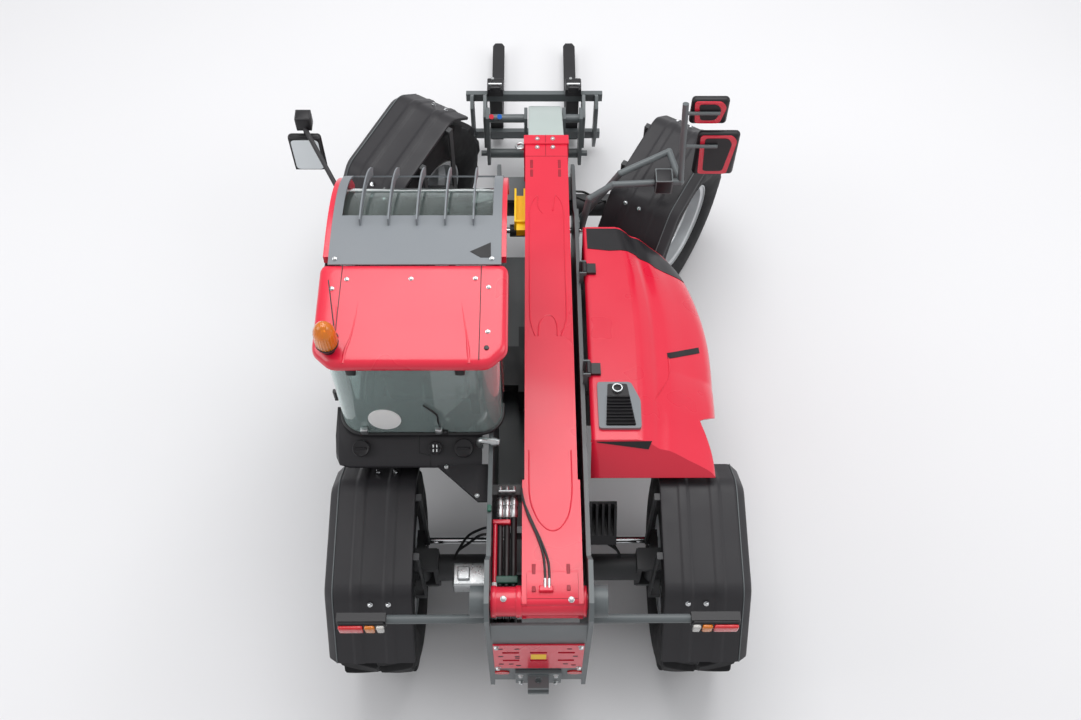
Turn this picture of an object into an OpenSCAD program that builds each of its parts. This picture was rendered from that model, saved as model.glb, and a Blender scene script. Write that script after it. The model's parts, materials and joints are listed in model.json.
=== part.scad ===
// Telehandler with pallet forks, parked with the boom down and the front wheels turned.
// Drawn round the rear axle (y forward, x to the right), then moved so that the
// origin lies on the ground in the middle of the whole outline.

/* [Overall] */
// Distance between the axles
wheelbase = 2780; // [2760:10:2950]
// Distance between the tyre centres on one axle
track = 1870; // [1840:10:1910]
// Height of the roof
roof_z = 2470; // [2430:10:2520]
// Reach of the left mirror from the centre plane
reach_left = 1500; // [1460:10:1560]
// Reach of the right mirrors from the centre plane
reach_right = 1290; // [1260:10:1340]

/* [Wheels] */
// Tyre diameter over the lugs
tyre_d = 1240; // [1220:2:1250]
// Tyre width
tyre_w = 460; // [430:5:470]
// Traction lugs on each half of a tyre
lug_count = 14; // [12:1:16]
// Height of a lug over the tread
lug_depth = 36; // [28:1:42]
// Turn of a lug from the tyre's middle to its shoulder
lug_sweep = 15; // [8:1:18]
// Bead seat diameter
rim_d = 610; // [590:2:630]
// Distance from kingpin to wheel centre
kingpin_off = 220; // [205:5:230]
// Steering angle of the front wheels as parked, positive to the left
front_steer = -30; // [-33:1:33]
// Length of a steering arm
steer_arm = 210; // [200:2:215]

/* [Frame] */
// Width over the side plates
frame_w = 554; // [544:2:560]
// Side plate thickness
plate_t = 25; // [20:1:26]
// Height of the frame's underside
belly_z = 430; // [400:10:460]
// Rear face of the frame behind the rear axle
frame_rear = 690; // [680:2:710]
// Rear end of the tow jaw behind the rear axle
tail = 790; // [780:5:820]

/* [Boom] */
// Boom pivot behind the rear axle
pivot_back = 560; // [550:2:570]
// Boom pivot height
pivot_z = 1620; // [1610:2:1640]
// Angle of the lowered boom below the level
boom_down = 8.7; // [8:0.1:9.2]
// Distance of the boom's middle to the right of the centre plane
boom_x = 70; // [60:2:74]
// Outer boom width
boom_w = 290; // [280:2:296]
// Outer boom height
boom_h = 330; // [320:2:336]
// Wall of the boom sections
boom_wall = 12; // [10:1:13]
// Length of the outer boom from its pivot
boom_len = 3530; // [3480:10:3580]
// Running gap round the inner boom
slide_gap = 9; // [7:0.5:11]

/* [Forks] */
// Distance of the fork carriage pivot ahead of the rear axle
tilt_y = 3500; // [3490:5:3520]
// Height of the fork carriage pivot
tilt_z = 330; // [320:2:340]
// Length of a fork from its shank
fork_len = 1040; // [1000:20:1200]
// Fork width
fork_w = 100; // [90:5:120]
// Fork thickness at the heel
fork_t = 45; // [40:1:50]
// Distance between the fork centres
fork_pitch = 600; // [560:10:640]
// Width of the fork carriage bars
carriage_w = 1056; // [1020:4:1080]

/* [Cab] */
// Left face of the cab
cab_left = 1110; // [1100:2:1120]
// Right face of the cab above the frame
cab_right = 200; // [196:2:206]
// Rear face of the rear window ahead of the rear axle
cab_rear = 470; // [464:2:476]
// Cab floor height
floor_z = 760; // [750:2:775]
// Thickness of cab walls
cab_wall = 30; // [26:1:34]
// Glass thickness
glass_t = 8; // [6:0.5:9]
// Upright bars of the guard over the roof glass
guard_bars = 5; // [4:1:7]

/* [Hood] */
// Left edge of the hood to the right of the centre plane
hood_left = 300; // [298:1:306]
// Right edge of the hood at its widest
hood_right = 1095; // [1070:5:1110]
// Height of the hood's left edge at its rear end
hood_z = 1520; // [1510:2:1530]
// Hood wall
hood_t = 14; // [10:1:16]
// Number of grille louvres
louvres = 9; // [6:1:9]

/* [Hidden] */
$fn = 48;
gap = 0.3;
grille_top = 32;
beacon_r = 58;
axle_z = tyre_d / 2;
front_y = wheelbase;
wheel_x = track / 2;
king_x = wheel_x - kingpin_off;
plate_x = frame_w / 2;
plate_in = plate_x - plate_t;
slope = tan(boom_down);
boom_top = 96;
boom_bottom = boom_top - boom_h;
inner_w = boom_w - 2 * (boom_wall + slide_gap);
inner_top = boom_top - boom_wall - slide_gap;
inner_bottom = boom_bottom + boom_wall + slide_gap;
shank_y = tilt_y + 380;
fork_tip = shank_y + fork_len;
arch_z = axle_z + 728;
centre_y = (fork_tip - tail) / 2;
wheel_reach = king_x + (kingpin_off + tyre_w / 2 - 28) * cos(front_steer)
    + tyre_d / 2 * abs(sin(front_steer));
centre_x = (reach_left - max(reach_right, wheel_reach)) / 2;
lift_a = [-50, 900];
lift_b = [1750, -285];
tilt_s = [boom_len - 180, -20];
tilt_arm = [30, 250];
cab_mid = -(cab_left + cab_right) / 2;
roof_under = roof_z - 70;
grey = [0.30, 0.32, 0.33];
red = [0.82, 0.09, 0.14];
black = [0.10, 0.10, 0.11];
steel = [0.62, 0.64, 0.65];

// Moves the machine so that the origin is in the middle of its outline
module placed() translate([centre_x, -centre_y, 0]) children();

// Side outline (y, z) drawn between two x planes
module yz(x0, x1) translate([x0, 0, 0]) rotate([90, 0, 90]) linear_extrude(x1 - x0) children();

// Front outline (x, z) drawn between two y planes
module xz(y0, y1) translate([0, y1, 0]) rotate([90, 0, 0]) linear_extrude(y1 - y0) children();

// Plan outline (x, y) drawn between two z planes
module xy(z0, z1) translate([0, 0, z0]) linear_extrude(z1 - z0) children();

// Block between two corners
module block(a, b) translate(a) cube(b - a);

// Round bar between two points
module bar(a, b, r) {
    v = b - a;
    translate(a) rotate([0, acos(v[2] / norm(v)), atan2(v[1], v[0])]) cylinder(h = norm(v), r = r);
}

// Round bar along x
module bar_x(x0, x1, y, z, r) translate([x0, y, z]) rotate([0, 90, 0]) cylinder(h = x1 - x0, r = r);

// Solid through a row of loops with the same number of points
module loft(loops) {
    n = len(loops[0]);
    m = len(loops);
    sides = [for (i = [0:m - 2], j = [0:n - 1], h = [0, 1]) h == 0
        ? [i * n + j, i * n + (j + 1) % n, (i + 1) * n + j]
        : [i * n + (j + 1) % n, (i + 1) * n + (j + 1) % n, (i + 1) * n + j]];
    first = [for (j = [0:n - 1]) n - 1 - j];
    last = [for (j = [0:n - 1]) (m - 1) * n + j];
    polyhedron([for (l = loops) each l], concat(sides, [first, last]));
}

// Boom's own frame: y along the boom from its pivot
module on_boom() translate([boom_x, -pivot_back, pivot_z]) rotate([-boom_down, 0, 0]) children();

// Point of the boom's frame (along, up) as a side point (y, z) of the machine
function boom_point(p) = [-pivot_back + p[0] * cos(boom_down) + p[1] * sin(boom_down),
    pivot_z - p[0] * sin(boom_down) + p[1] * cos(boom_down)];
function rel_boom(p) = [(p[0] + pivot_back) * cos(boom_down) - (p[1] - pivot_z) * sin(boom_down),
    (p[0] + pivot_back) * sin(boom_down) + (p[1] - pivot_z) * cos(boom_down)];

// Frame of one wheel corner: origin on the kingpin, x outward, y forward
module corner(axle_y, side, steer) translate([side * king_x, axle_y, axle_z]) rotate([0, 0, steer])
    mirror([side < 0 ? 1 : 0, 0, 0]) children();

// Frame

// Height of the side plates' sloping top edge
function plate_top(y) = pivot_z - 148 - slope * (y - 450);

module side_plate() polygon([
    [-frame_rear, 530], [-330, 530], [-200, 560], [-150, 640], [-150, axle_z + 110],
    [-110, axle_z + 150], [110, axle_z + 150], [150, axle_z + 110], [160, axle_z + 40], [260, axle_z],
    [340, belly_z], [wheelbase - 340, belly_z], [wheelbase - 260, axle_z], [wheelbase - 160, axle_z + 40],
    [wheelbase - 150, axle_z + 110],
    [wheelbase - 110, axle_z + 150], [wheelbase + 110, axle_z + 150],
    [wheelbase + 150, axle_z + 110], [wheelbase + 150, 540], [wheelbase + 230, 560],
    [wheelbase + 230, 800], [wheelbase + 130, 900], [2450, 1010], [2250, plate_top(2250)],
    [-300, plate_top(-300)], [-390, pivot_z + 145], [-620, pivot_z + 145],
    [-frame_rear, pivot_z + 70]]);

module frame_plates() {
    for (x = [-plate_x, plate_in]) yz(x, x + plate_t) side_plate();
    for (x = [-plate_x - 75, plate_x]) bar_x(x, x + 75, -pivot_back, pivot_z, 82);
}

module chassis_frame() color(grey) placed() {
    difference() {
        frame_plates();
        bar_x(-plate_x - 60, plate_x + 60, -pivot_back, pivot_z, 45 + gap);
    }
    // Closing plates at the rear, belly plate and front cross plate
    yz(-plate_in, plate_in) polygon([[-frame_rear, 640], [-frame_rear + 18, 640],
        [-frame_rear + 18, 1330], [-652, 1560], [-668, 1562], [-frame_rear, 1332]]);
    block([-plate_in, 345, belly_z], [plate_in, wheelbase - 345, belly_z + 18]);
    block([-plate_in, wheelbase + 190, 560], [plate_in, wheelbase + 208, 640]);
    // Axle saddles
    for (y = [0, wheelbase]) block([-plate_in, y - 105, axle_z + 156], [plate_in, y + 105, axle_z + 190]);
    // Lift cylinder ears on the rear saddle
    for (x = [boom_x - 95, boom_x + 70]) yz(x, x + 25) polygon([[-105, axle_z + 190],
        [100, axle_z + 190], [30, lift_a[1] + 60], [-100, lift_a[1] + 60]]);
    bar_x(boom_x - 120, boom_x + 120, lift_a[0], lift_a[1], 32);
    // Outriggers under the cab
    for (y = [1000, 1690]) block([-cab_left + 60, y, floor_z - 120], [-plate_x, y + 90, floor_z - 40]);
    // Hood hinge pins on brackets
    for (y = [900, 1700]) hood_hinge_place(y) {
        translate([0, -55, 0]) rotate([-90, 0, 0]) cylinder(h = 110, r = 8);
        for (s = [-55, 45]) {
            block([plate_x - hood_left - 10, s, -150], [-6, s + 10, 12]);
            block([plate_x - hood_left - 10, s, -14], [10, s + 10, 12]);
        }
    }
    // Stop under the boom's front end
    block([boom_x - 60, wheelbase - 100, axle_z + 190],
        [boom_x + 60, wheelbase - 60, boom_point([wheelbase + 582, boom_bottom])[1] - 1]);
}

module rear_panel() color(red) placed() difference() {
    block([-plate_in + 8, -frame_rear - 10, 900], [plate_in - 8, -frame_rear, 1325]);
    for (x = [-150, 0, 150], z = [1040, 1180])
        block([x - 45, -frame_rear - 12, z], [x + 45, -frame_rear + 2, z + 28]);
}

module tow_hitch() color(grey) placed() {
    block([-130, -frame_rear - 25, 650], [130, -frame_rear, 850]);
    difference() {
        for (z = [690, 790]) block([-60, -tail, z], [60, -frame_rear - 25, z + 30]);
        translate([0, -tail + 45, 650]) cylinder(h = 200, r = 16);
    }
}

module lamp_bars() color(grey) placed() for (s = [-1, 1]) {
    bar([s * plate_x, -575, 1385], [s * (wheel_x - 60), -575, 1385], 24);
    block([s * wheel_x - 130, -599, 1345], [s * wheel_x + 130, -551, 1425]);
}

module rear_lamps() color([0.8, 0.1, 0.1]) placed() for (s = [-1, 1])
    block([s * wheel_x - 125, -640, 1340], [s * wheel_x + 125, -599, 1430]);

// Axle with its yokes; the steering cylinder lies on the side given by dir
module axle(y, dir) translate([0, y, axle_z]) {
    difference() {
        union() {
            bar_x(-130, 130, 0, 0, 150);
            bar_x(-king_x + 110, king_x - 110, 0, 0, 80);
            for (s = [-1, 1]) {
                block([s * 190 - 50, -80, 0], [s * 190 + 50, 80, 156]);
                block([min(s * (king_x - 120), s * (king_x - 90)), -66, -140],
                    [max(s * (king_x - 120), s * (king_x - 90)), 66, 140]);
                for (z = [-140, 110]) block([min(s * (king_x - 110), s * (king_x + 62)), -70, z],
                    [max(s * (king_x - 110), s * (king_x + 62)), 70, z + 30]);
            }
            // Pinion nose toward the middle of the machine
            rotate([-90 * dir, 0, 0]) cylinder(h = 330, r = 75);
            // Steering cylinder and its bracket
            bar_x(-190, 190, dir * (steer_arm - 15), -50, 45);
            block([-60, min(dir * 60, dir * 200), -90], [60, max(dir * 60, dir * 200), -40]);
        }
        for (s = [-1, 1]) translate([s * king_x, 0, -150]) cylinder(h = 300, r = 28 + gap);
        bar_x(-200, 200, dir * (steer_arm - 15), -50, 24);
    }
}

module front_axle() color(black) placed() axle(front_y, -1);

module rear_axle() color(black) placed() axle(0, 1);

// Steering rod with a cup under each steering arm's end
module steer_rod(y, dir, steer) translate([-dir * steer_arm * sin(steer),
    y + dir * (steer_arm - 15), axle_z]) {
    bar_x(-king_x, king_x, 0, -50, 22);
    for (s = [-1, 1]) translate([s * king_x, 0, -75]) cylinder(h = 50, r = 34);
}

module steer_rod_front() color(steel) placed() steer_rod(front_y, -1, front_steer);

module steer_rod_rear() color(steel) placed() steer_rod(0, 1, 0);

module drive_shafts() color(grey) placed() {
    block([-120, 1150, axle_z - 130], [140, 1650, axle_z + 130]);
    for (r = [[330, 1150], [1650, wheelbase - 330]]) bar([0, r[0], axle_z], [0, r[1], axle_z], 45);
    block([-plate_in, 1250, axle_z - 40], [-120, 1550, axle_z + 40]);
    block([140, 1250, axle_z - 40], [plate_in, 1550, axle_z + 40]);
}

module engine_block() color(black) placed() block([plate_x, 950, 640], [820, 1800, 1080]);

// Wheels

// Half section of the rim with its hub (radius, outward from the wheel centre)
module rim_half() {
    rs = rim_d / 2;
    w = tyre_w / 2 - 50;
    polygon([[62, -30], [150, -30], [150, 30], [rs - 40, 42], [rs - 40, -60], [rs - 12, -100],
        [rs - 12, -w + 10], [rs + 14, -w], [rs + 14, -w - 10], [rs + 22, -w - 10], [rs + 22, -w + 8],
        [rs - 0.5, -w + 14], [rs - 0.5, -96], [rs - 26, -56], [rs - 26, 56], [rs - 0.5, 96],
        [rs - 0.5, w - 14], [rs + 22, w - 8], [rs + 22, w + 10], [rs + 14, w + 10], [rs + 14, w],
        [rs - 12, w - 10], [rs - 12, 100], [rs - 40, 60], [150, 48], [150, 120], [120, 135],
        [0, 135], [0, 75], [62, 75]]);
}

// Steps round one lug pitch: the left row stands on steps 1 and 2, the right row on steps 4 and 5
lug_share = [0, 0.07, 0.43, 0.50, 0.57, 0.93];

// Ring of tyre points: steps a pitch, radius, place along the axle, lug row (-1, 0 or 1), share of the sweep
function tyre_ring(steps, r, x, row, sweep) = [for (i = [0:lug_count * steps - 1])
    let (k = i % steps,
        share = steps == 6 ? lug_share[k] : k / 2,
        up = row < 0 ? k == 1 || k == 2 : row > 0 ? k == 4 || k == 5 : false,
        a = 360 / lug_count * (floor(i / steps) + share - lug_share[1]) - sweep * lug_sweep,
        tip = r + (up ? lug_depth : 0))
    [x, tip * sin(a), -tip * cos(a)]];

// Rings of the tyre from bead to bead: coarse ones for beads and sidewalls, fine ones for shoulders and tread
function tyre_rings() = let (rs = rim_d / 2, w = tyre_w / 2 - 50, h = tyre_w / 2,
    tread = tyre_d / 2 - lug_depth, out = 1 / cos(90 / lug_count)) concat(
    [for (b = [[0, 14.5], [22.5, 8.5], [34, -14]]) tyre_ring(2, (rs + b[0]) * out, b[1] - w, 0, 1)],
    [tyre_ring(2, rs + 150, -h, 0, 1), tyre_ring(6, tread - 24, 14 - h, 0, 1),
        tyre_ring(6, tread, 28 - h, -1, 1), tyre_ring(6, tread, -10, -1, 0),
        tyre_ring(6, tread, 10, 1, 0), tyre_ring(6, tread, h - 28, 1, 1),
        tyre_ring(6, tread - 24, h - 14, 0, 1), tyre_ring(2, rs + 150, h, 0, 1)],
    [for (b = [[34, -14], [22.5, 8.5], [0, 14.5]]) tyre_ring(2, (rs + b[0]) * out, w - b[1], 0, 1)]);

// Triangles between two rings with the same steps
function even_strip(a, b, n) = [for (i = [0:n - 1], t = [0, 1]) t == 0
    ? [a + i, b + i, b + (i + 1) % n] : [a + i, b + (i + 1) % n, a + (i + 1) % n]];

// Triangles between a fine ring and a coarse one; turned over where the coarse ring comes first
function mixed_strip(fine, coarse, over) = [for (l = [0:lug_count - 1], t = [0:7])
    let (f = l * 6, c = l * 2, fn = lug_count * 6, cn = lug_count * 2,
        tri = [[f, f + 1, c], [f + 1, f + 2, c], [f + 2, c + 1, c], [f + 2, f + 3, c + 1],
            [f + 3, f + 4, c + 1], [f + 4, f + 5, c + 1], [f + 5, c + 2, c + 1], [f + 5, f + 6, c + 2]][t],
        first = fine + tri[0] % fn,
        second = t == 2 || t == 6 ? coarse + tri[1] % cn : fine + tri[1] % fn,
        third = coarse + tri[2] % cn)
    over ? [first, third, second] : [first, second, third]];

module lugged_tyre() {
    rings = tyre_rings();
    start = [for (i = 0, n = 0; i < len(rings); n = n + len(rings[i]), i = i + 1) n];
    polyhedron([for (r = rings) each r], [for (i = [0:len(rings) - 1])
        let (j = (i + 1) % len(rings), m = len(rings[i]), n = len(rings[j]))
        each m == n ? even_strip(start[i], start[j], m)
            : m > n ? mixed_strip(start[i], start[j], true) : mixed_strip(start[j], start[i], false)]);
}

module rim(axle_y, side, steer) corner(axle_y, side, steer) translate([kingpin_off, 0, 0])
    rotate([0, 90, 0]) rotate_extrude() rim_half();

module tyre(axle_y, side, steer) corner(axle_y, side, steer) translate([kingpin_off, 0, 0]) lugged_tyre();

// Knuckle: kingpin barrel, spindle, steering arm and the fender stays
module knuckle(axle_y, side, steer, dir) corner(axle_y, side, steer) {
    cylinder(h = 210, r = 64, center = true);
    cylinder(h = 278, r = 28, center = true);
    bar_x(0, kingpin_off + 70, 0, 0, 62 - gap);
    bar_x(0, kingpin_off - 40, 0, 0, 100);
    block([-26, min(0, dir * (steer_arm + 30)), -20], [26, max(0, dir * (steer_arm + 30)), 12]);
    for (s = [-1, 1]) {
        top = min(fender_under(s * (stay_y - 20)), fender_under(s * (stay_y + 20))) - gap;
        block([-20, min(0, s * (stay_y + 20)), -12], [20, max(0, s * (stay_y + 20)), 38]);
        block([-52, s * stay_y - 20, -12], [20, s * stay_y + 20, 38]);
        block([-52, s * stay_y - 20, -12], [-38, s * stay_y + 20, top]);
        block([-52, s * stay_y - 20, top - 12], [tyre_w / 2 + 100, s * stay_y + 20, top]);
    }
}

// Fender crown points: angle from straight ahead, height over the tyre
fender_path = [[50, 66], [70, 112], [122, 103], [160, 78]];
stay_y = 170;

// Height of the fender's underside over the axle, on its top stretch
function fender_under(y) = let (a = fender_path[1], b = fender_path[2], ra = tyre_d / 2 + a[1] - 11,
    rb = tyre_d / 2 + b[1] - 11) lookup(y, [[rb * cos(b[0]), rb * sin(b[0])], [ra * cos(a[0]),
        ra * sin(a[0])]]);

function fender_loop(a, r) = [for (p = [[-20, 0], [415, 0], [470, -50], [470, -61],
    [415, -11], [-20, -11]])
    [p[0], (r + p[1]) * cos(a), (r + p[1]) * sin(a)]];

module fender(axle_y, side, steer) corner(axle_y, side, steer)
    loft([for (p = fender_path) fender_loop(p[0], tyre_d / 2 + p[1])]);

module knuckle_fl() color(black) placed() knuckle(front_y, -1, front_steer, -1);
module knuckle_fr() color(black) placed() knuckle(front_y, 1, front_steer, -1);
module knuckle_rl() color(black) placed() knuckle(0, -1, 0, 1);
module knuckle_rr() color(black) placed() knuckle(0, 1, 0, 1);
module fender_fl() color(black) placed() fender(front_y, -1, front_steer);
module fender_fr() color(black) placed() fender(front_y, 1, front_steer);
module fender_rl() color(black) placed() fender(0, -1, 0);
module fender_rr() color(black) placed() fender(0, 1, 0);
module rim_fl() color(steel) placed() rim(front_y, -1, front_steer);
module rim_fr() color(steel) placed() rim(front_y, 1, front_steer);
module rim_rl() color(steel) placed() rim(0, -1, 0);
module rim_rr() color(steel) placed() rim(0, 1, 0);
module tyre_fl() color(black) placed() tyre(front_y, -1, front_steer);
module tyre_fr() color(black) placed() tyre(front_y, 1, front_steer);
module tyre_rl() color(black) placed() tyre(0, -1, 0);
module tyre_rr() color(black) placed() tyre(0, 1, 0);

// Hood

function hood_edge(y) = hood_z - slope * (y - 450);
function hood_wide(y) = y < 1200
    ? hood_right - 95 * pow((1200 - y) / 950, 2)
    : hood_right - 195 * pow((y - 1200) / 850, 2);

// Height of the hood's lower edge, raised over the rear wheel
function hood_low(y) = y < 640 ? arch_z : y > 960 ? 720 : arch_z - (arch_z - 720) * (y - 640) / 320;

// Stations of the hood: y at the hinge edge, lean of the section
hood_stations = [[405, 0.765], [500, 0.45], [600, 0.12], [660, 0], [800, 0], [960, 0], [1250, 0], [1550, 0],
    [1800, 0.03], [1960, 0.12], [2078, 0.228]];

// Hood section at a station, drawn in by t, from the lower edge to the hinge edge
function hood_line(s, t, dy) = let (y = s[0], z = hood_edge(y) + 14, w = hood_wide(y),
    f = (w - hood_left) / 795,
    m = y > 960 ? 1 : 1 + 0.6 * (960 - y) / 555, d = z - hood_low(y),
    side = [[30, hood_left + 365 * f], [160, hood_left + 590 * f], [270, w - 45 * f], [380, w - 6],
        [520, w],
        [700, w - 16], [900, w - 26]],
    pts = concat([for (i = [8:-1:1]) let (e = 30 + (d - 30) * i / 8) [lookup(e * m, side) - t,
        z - e - (i < 8 ? t / 2 : 0)]],
        [[hood_left + 365 * f - t / 2, z - 30 / m - t], [hood_left + 300, z - t], [hood_left + 30, z - t],
        [hood_left, z - 12 - t]]))
    [for (p = pts) [p[0], y + dy + s[1] * (p[1] - z), p[1]]];

// Open cover with two end walls: a row of outer lines and inner lines, and the walls' lower corners
module cover(outer, inner, low) {
    n = len(outer[0]);
    m = len(outer);
    k = 2 * n;
    c = m * k;
    loops = [for (i = [0:m - 1]) concat(outer[i], [for (j = [0:n - 1]) inner[i][n - 1 - j]])];
    sides = [for (i = [0:m - 2], j = [0:k - 1], h = [0, 1]) h == 0
        ? [i * k + j, i * k + (j + 1) % k, (i + 1) * k + j]
        : [i * k + (j + 1) % k, (i + 1) * k + (j + 1) % k, (i + 1) * k + j]];
    e = (m - 1) * k;
    ends = [concat([for (j = [n - 1:-1:0]) j], [c]), concat([for (j = [k - 1:-1:n]) j], [c + 1]),
        [c, 0, k - 1, c + 1], [c, c + 1, n, n - 1],
        concat([for (j = [0:n - 1]) e + j], [c + 2]), concat([for (j = [n:k - 1]) e + j], [c + 3]),
        [e, c + 2, c + 3, e + k - 1], [c + 2, e + n - 1, e + n, c + 3]];
    polyhedron(concat([for (l = loops) each l], low), concat(sides, ends));
}

function hood_corner(s, dy) = let (z = hood_low(s[0])) [hood_left,
    s[0] + dy + s[1] * (z - hood_edge(s[0]) - 14), z];

module hood_hinge_place(y) translate([hood_left, y, hood_edge(y) + 34]) rotate([-boom_down, 0,
    0]) children();

module hood() color(red) placed() {
    last = len(hood_stations) - 1;
    cover([for (s = hood_stations) hood_line(s, 0, 0)],
        [for (i = [0:last]) hood_line(hood_stations[i], hood_t, i == 0 ? hood_t : i == last ? -hood_t : 0)],
        [hood_corner(hood_stations[0], 0), hood_corner(hood_stations[0], hood_t),
        hood_corner(hood_stations[last], 0), hood_corner(hood_stations[last], -hood_t)]);
}

module hood_hinges() color(black) placed() for (y = [900, 1700]) hood_hinge_place(y) difference() {
    union() {
        translate([0, -40, 0]) rotate([-90, 0, 0]) cylinder(h = 80, r = 16);
        block([0, -40, -19.7 * cos(boom_down)], [70, 40, -4]);
        block([-16, -40, -6], [70, 40, 0]);
    }
    translate([0, -50, 0]) rotate([-90, 0, 0]) cylinder(h = 100, r = 8 + gap);
}

// Grille plate on the flat top of the hood, with louvre slots and the well of the exhaust
module hood_grille() color(grey) placed() translate([hood_left, 450, hood_z]) rotate([-boom_down, 0, 0])
    difference() {
        xy(14 * cos(boom_down) + gap, grille_top)
            polygon([[45, 20], [285, 20], [290, 220], [240, 350], [45, 350]]);
        for (i = [0:louvres - 1]) translate([0, 40 + i * 24, grille_top])
            block([90, 0, -9], [250 - i * 4, 14, 1]);
        translate([160, 300, grille_top - 9]) cylinder(h = 10, r = 32);
    }

// Cab

// Curve of the cab front: level on the roof, upright at the floor; d moves it out
function front_curve(d, a0, a1, n) = [for (i = [0:n]) let (a = a0 + (a1 - a0) * i / n)
    [950 + (955 + d) * pow(sin(a), 0.62), 900 + (roof_under - 900 + d) * pow(cos(a), 0.62)]];

// Strip between two copies of the curve
module curve_strip(d0, d1, a0, a1, n) polygon(concat(front_curve(d0, a0, a1, n),
    [for (i = [0:n]) front_curve(d1, a0, a1, n)[n - i]]));

module cab_side_outline() polygon(concat([[655, 1490], [655, roof_under], [950, roof_under]],
    front_curve(-2, 4, 90, 16), [[1890, floor_z - 40], [900, floor_z - 40], [655, arch_z]]));

module door_hole(d) polygon(concat([[735 - d, 1440], [735 - d, roof_under - 95 + d]],
    front_curve(-130 + d, 25, 82, 12),
    [[1752 + d, floor_z + 25 - d], [985 - d * 1.4, floor_z + 25 - d]]));

module cab_frame() color(black) placed() {
    // Left side with the door opening
    difference() {
        yz(-cab_left, -cab_left + 50) cab_side_outline();
        yz(-cab_left - 5, -cab_left + 55) door_hole(0);
    }
    // Right side: window frame above the frame plate, wall below it
    difference() {
        yz(-cab_right - 45, -cab_right) intersection() {
            cab_side_outline();
            translate([400, 1480]) square([1600, 1200]);
        }
        yz(-cab_right - 50, -cab_right + 5) intersection() {
            door_hole(0);
            translate([400, 1570]) square([1600, 1200]);
        }
    }
    yz(-plate_x - 10 - cab_wall, -plate_x - 10) intersection() {
        cab_side_outline();
        translate([400, 600]) square([1600, 890]);
    }
    block([-plate_x - 40, 680, 1480], [-cab_right, 1840, 1500]);
    // Floor, rear wall, rear shelf, front sill and roof beams
    block([-cab_left + 50, 900, floor_z - 40], [-plate_x - 40, 1890, floor_z]);
    yz(-cab_left + 50, -plate_x - 40) polygon([[900, floor_z - 40],
        [900 + cab_wall, floor_z - 40], [655 + cab_wall, arch_z + 8], [655 + cab_wall, 1490], [655, 1490],
        [655, arch_z]]);
    xy(1470, 1490) difference() {
        window_plan(0);
        translate([-2000, 700]) square([4000, 1000]);
    }
    block([-cab_left + 50, 1890 - cab_wall, floor_z], [-plate_x - 40, 1890, 1000]);
    // Door hinge pins on brackets
    for (z = [1520, 2180]) {
        translate([-cab_left - 42, 690, z - 16]) cylinder(h = 102, r = 7);
        for (b = [z - 16, z + 74]) block([-cab_left - 52, 677, b], [-cab_left, 696, b + 12]);
    }
    for (y = [655, 905]) block([-cab_left + 50, y, roof_under - 60], [-cab_right - 45, y + 45, roof_under]);
}

// Plan of the rear glass, drawn in by t
module window_plan(t) {
    r = 130;
    x0 = -cab_left + 2 + t;
    x1 = -cab_right - 2 - t;
    y0 = cab_rear + t;
    for (x = [x0 + r - t, x1 - r + t]) translate([x, y0 + r - t]) circle(r = r - t);
    translate([x0 + r - t, y0]) square([x1 - x0 - 2 * r + 2 * t, 400]);
    translate([x0, y0 + r - t]) square([x1 - x0, 300]);
}

module rear_window() color([0.3, 0.4, 0.45, 0.5]) placed() xy(1490, roof_under) intersection() {
    difference() {
        window_plan(0);
        window_plan(glass_t);
    }
    translate([-2000, 300]) square([4000, 355]);
}

module windscreen() color([0.3, 0.4, 0.45, 0.5]) placed() difference() {
    yz(-cab_left + 4, -cab_right - 4) curve_strip(0, glass_t, 2, 90, 28);
    block([-plate_x - 12, 1000, 800], [0, 3000, 1490]);
}

module side_window() color([0.3, 0.4, 0.45, 0.5]) placed() yz(-cab_right,
    -cab_right + glass_t) intersection() {
    door_hole(25);
    translate([400, 1545]) square([1600, 1200]);
}

module cab_roof() color(red) placed() {
    x0 = -cab_left - 5;
    x1 = -cab_right + 35;
    loft([for (s = [[0, 0], [18, -12], [52, -6], [70, 22]]) let (t = s[1])
        [[x0 + t, 450 + t, roof_under + s[0]], [x0 + t, 950, roof_under + s[0]],
        [x1 - t, 950, roof_under + s[0]], [x1 - t, 450 + t, roof_under + s[0]],
        [x1 - 90 - t, 360 + t, roof_under + s[0]], [x0 + 90 + t, 360 + t, roof_under + s[0]]]]);
    for (x = [x0, x1 - 44]) yz(x, x + 44) curve_strip(glass_t + 1, 61, 0, 55, 18);
}

module roof_guard() color([0.45, 0.47, 0.49]) placed() {
    x0 = -cab_left + 25;
    x1 = -cab_right + 10;
    // Rear plate, flat side strips, front strip and the upright bars over the glass
    yz(x0, x1) curve_strip(62.5, 70, 0, 9, 3);
    for (x = [x0, x1 - 48]) yz(x, x + 48) curve_strip(62.5, 70, 6, 42, 12);
    for (i = [1:guard_bars]) let (x = x0 + i * (x1 - x0) / (guard_bars + 1))
        yz(x - 4, x + 4) curve_strip(62.5, 112, 6, 42, 12);
    yz(x0, x1) curve_strip(62.5, 71, 39, 42, 1);
}

module door() color(black) placed() {
    difference() {
        yz(-cab_left - 30, -cab_left - 6) door_hole(35);
        yz(-cab_left - 40, -cab_left) intersection() {
            door_hole(-35);
            translate([400, 1420]) square([1600, 1200]);
        }
        yz(-cab_left - 40, -cab_left) intersection() {
            door_hole(-35);
            translate([400, 600]) square([1600, 780]);
        }
    }
    // Hinge barrels at the rear edge
    for (z = [1520, 2180]) difference() {
        union() {
            translate([-cab_left - 42, 690, z]) cylinder(h = 70, r = 14);
            block([-cab_left - 42, 690, z], [-cab_left - 30, 740, z + 70]);
        }
        translate([-cab_left - 42, 690, z - 5]) cylinder(h = 80, r = 7 + gap);
    }
}

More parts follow.
